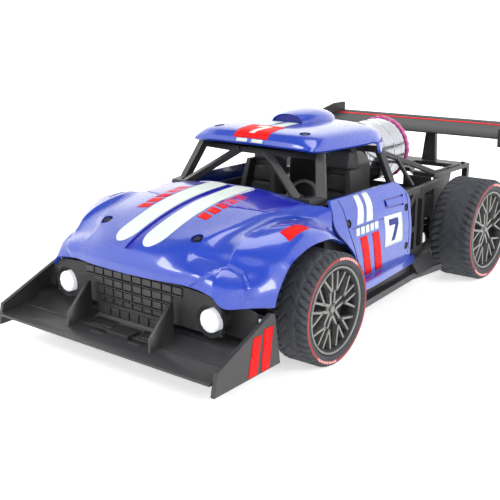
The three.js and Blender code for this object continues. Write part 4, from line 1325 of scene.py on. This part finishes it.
def nozzle():
    z, radius, front, rear = (NOZZLE[key] for key in ("z", "radius", "front", "rear"))

    def to_place(along, r, angle):
        return (r * math.sin(angle), along, z + r * math.cos(angle))

    knots = [
        (front, 9), (52, 9), (56, radius - 4), (66, radius - 1), (80, radius - 0.5), (rear - 2, radius),
    ]
    outside = [spline([Vector(p) for p in knots], t) for t in steps(len(knots) - 1, 6)]
    inside = [
        (rear, radius - 0.3), (rear, radius - 1.8), (80, radius - 2.6), (66, radius - 3.4), (60, 12),
        (60, 0.01),
    ]
    horn = lathe([(front, 0.01)] + [tuple(p) for p in outside] + inside, 96, to_place)
    solid("spray_nozzle_look", [horn], CHROME, "nozzle_plated", stands_for=["spray_nozzle"])
    beads = [(y, radius + 0.1 - (rear - y) * 0.018) for y in (72, 84, 93)]
    rings = [
        lathe([(y - 0.7, r - 0.8), (y - 0.35, r), (y + 0.35, r), (y + 0.7, r - 0.8)], 96, to_place)
        for y, r in beads
    ]
    solid("nozzle_beads", rings, CHROME, "nozzle_plated")
    jet = [(59.5, 0.01), (59.5, 7), (61, 6.6), (62.4, 3.4), (66, 2.2), (66, 0.01)]
    solid("nozzle_jet", [lathe(jet, 40, to_place)], DARK_AND_PAINTED_SHADE)


def light_ring():
    """A tinted ring on the nozzle's mouth with a shallow wave round its edge."""
    z, radius, rear = NOZZLE["z"], NOZZLE["radius"], NOZZLE["rear"]

    def to_place(along, r, angle):
        wave = 0.25 * math.cos(28 * angle) if r > radius else 0
        return ((r + wave) * math.sin(angle), along, z + (r + wave) * math.cos(angle))

    start, end = rear + 0.35, rear + 2.9
    profile = [
        (start, radius - 1.8), (start, radius + 0.4), (start + 0.6, radius + 1.1),
        (end - 0.5, radius + 1.1), (end, radius + 0.5), (end, radius - 1.4), (end - 0.6, radius - 1.8),
    ]
    node = "nozzle_light_ring"
    solid(node + "_look", [lathe(profile, 168, to_place)], MAGENTA, SLOT_OF[node], stands_for=[node])


def spray_unit():
    nozzle()
    light_ring()
    rounded_copy("spray_tank", 0.9, segments=3)
    rounded_copy("tank_plug", 0.4)


hood_tree = hood()
hood_prints_and_shade(hood_tree)
roof_tree = roof()
roof_scoop(roof_tree)
roof_prints(roof_tree)
door_trees = {}
for side_name, side_sign in SIDES.items():
    door_trees[side_name] = door(side_name, side_sign)
    door_prints(side_name, side_sign, door_trees[side_name])
wheels()
grille()
for side_name, side_sign in SIDES.items():
    headlight(side_name, side_sign)
splitter()
cab()
tail()
spray_unit()
fixings()
for node_name, node in frame["nodes"].items():
    if not node.hide_render:
        rounded_copy(node_name)


# ---- Stage ----

STUDIO_RADIUS = 2.2
STUDIO_CURVE = 1.0
STUDIO_HEIGHT = 3.2
FLOOR_GLOW = 0.56
SKY_STRENGTH = 0.2


def studio():
    """A pale floor that curves up into a wall all round, under an even sky."""
    profile = [(0.001, 0)]
    profile += [
        (STUDIO_RADIUS + STUDIO_CURVE * math.sin(a), STUDIO_CURVE * (1 - math.cos(a)))
        for a in [math.pi / 2 * i / 12 for i in range(13)]
    ]
    profile.append((STUDIO_RADIUS + STUDIO_CURVE, STUDIO_HEIGHT))
    sides = 64
    points = [
        (radius * math.cos(2 * math.pi * k / sides), radius * math.sin(2 * math.pi * k / sides), z)
        for radius, z in profile
        for k in range(sides)
    ]
    faces = []
    for start in range(0, (len(profile) - 1) * sides, sides):
        for k in range(sides):
            here, after = start + k, start + (k + 1) % sides
            faces.append((here, after, after + sides, here + sides))
    mesh = bpy.data.meshes.new("studio_floor")
    mesh.from_pydata(points, [], faces)
    mesh.shade_smooth()
    floor = shown("studio_floor", mesh)
    pale = bpy.data.materials.new("pale_floor")
    pale.use_nodes = True
    set_inputs(
        pale.node_tree.nodes["Principled BSDF"], Base_Color=(0.9, 0.9, 0.9, 1), Roughness=0.9,
        Specular_IOR_Level=0.1, Emission_Color=(1, 1, 1, 1), Emission_Strength=FLOOR_GLOW,
    )
    mesh.materials.append(pale)
    world = bpy.data.worlds.new("studio")
    world.use_nodes = True
    set_inputs(world.node_tree.nodes["Background"], Color=(1, 1, 1, 1), Strength=SKY_STRENGTH)
    bpy.context.scene.world = world


def aimed(name, data, spot, back):
    """A light or a camera at a spot, turned so that its back is towards a direction."""
    made = shown(name, data)
    made.location = spot
    made.rotation_euler = Vector(back).to_track_quat("Z", "Y").to_euler()
    return made


# Each softbox's place in metres, its width and its power. It points at the middle of the floor.
SOFTBOXES = {
    "overhead": ((0.1, 0.3, 1.9), 1.0, 15),
    "key": ((-0.5, -1.1, 1.2), 0.5, 9),
    "side": ((1.3, -0.1, 0.8), 0.4, 6),
}


def softboxes():
    for name, (spot, size, power) in SOFTBOXES.items():
        lamp = bpy.data.lights.new(name, "AREA")
        lamp.energy = power
        lamp.size = size
        aimed(name, lamp, spot, spot)


# The camera's place in the drawing, the direction that its back is towards, and its lens.
CAMERA_PLACE = (302.84, -434.24, 168.58)
CAMERA_BACK = (0.5957, -0.7576, 0.2666)
FOCAL_LENGTH = 61.97


def camera():
    lens = bpy.data.cameras.new("camera")
    lens.sensor_width = 36
    lens.lens = FOCAL_LENGTH
    lens.clip_start = 0.01
    bpy.context.scene.camera = aimed("camera", lens, place(CAMERA_PLACE), CAMERA_BACK)


studio()
softboxes()
camera()
bpy.context.scene.view_settings.view_transform = "Standard"
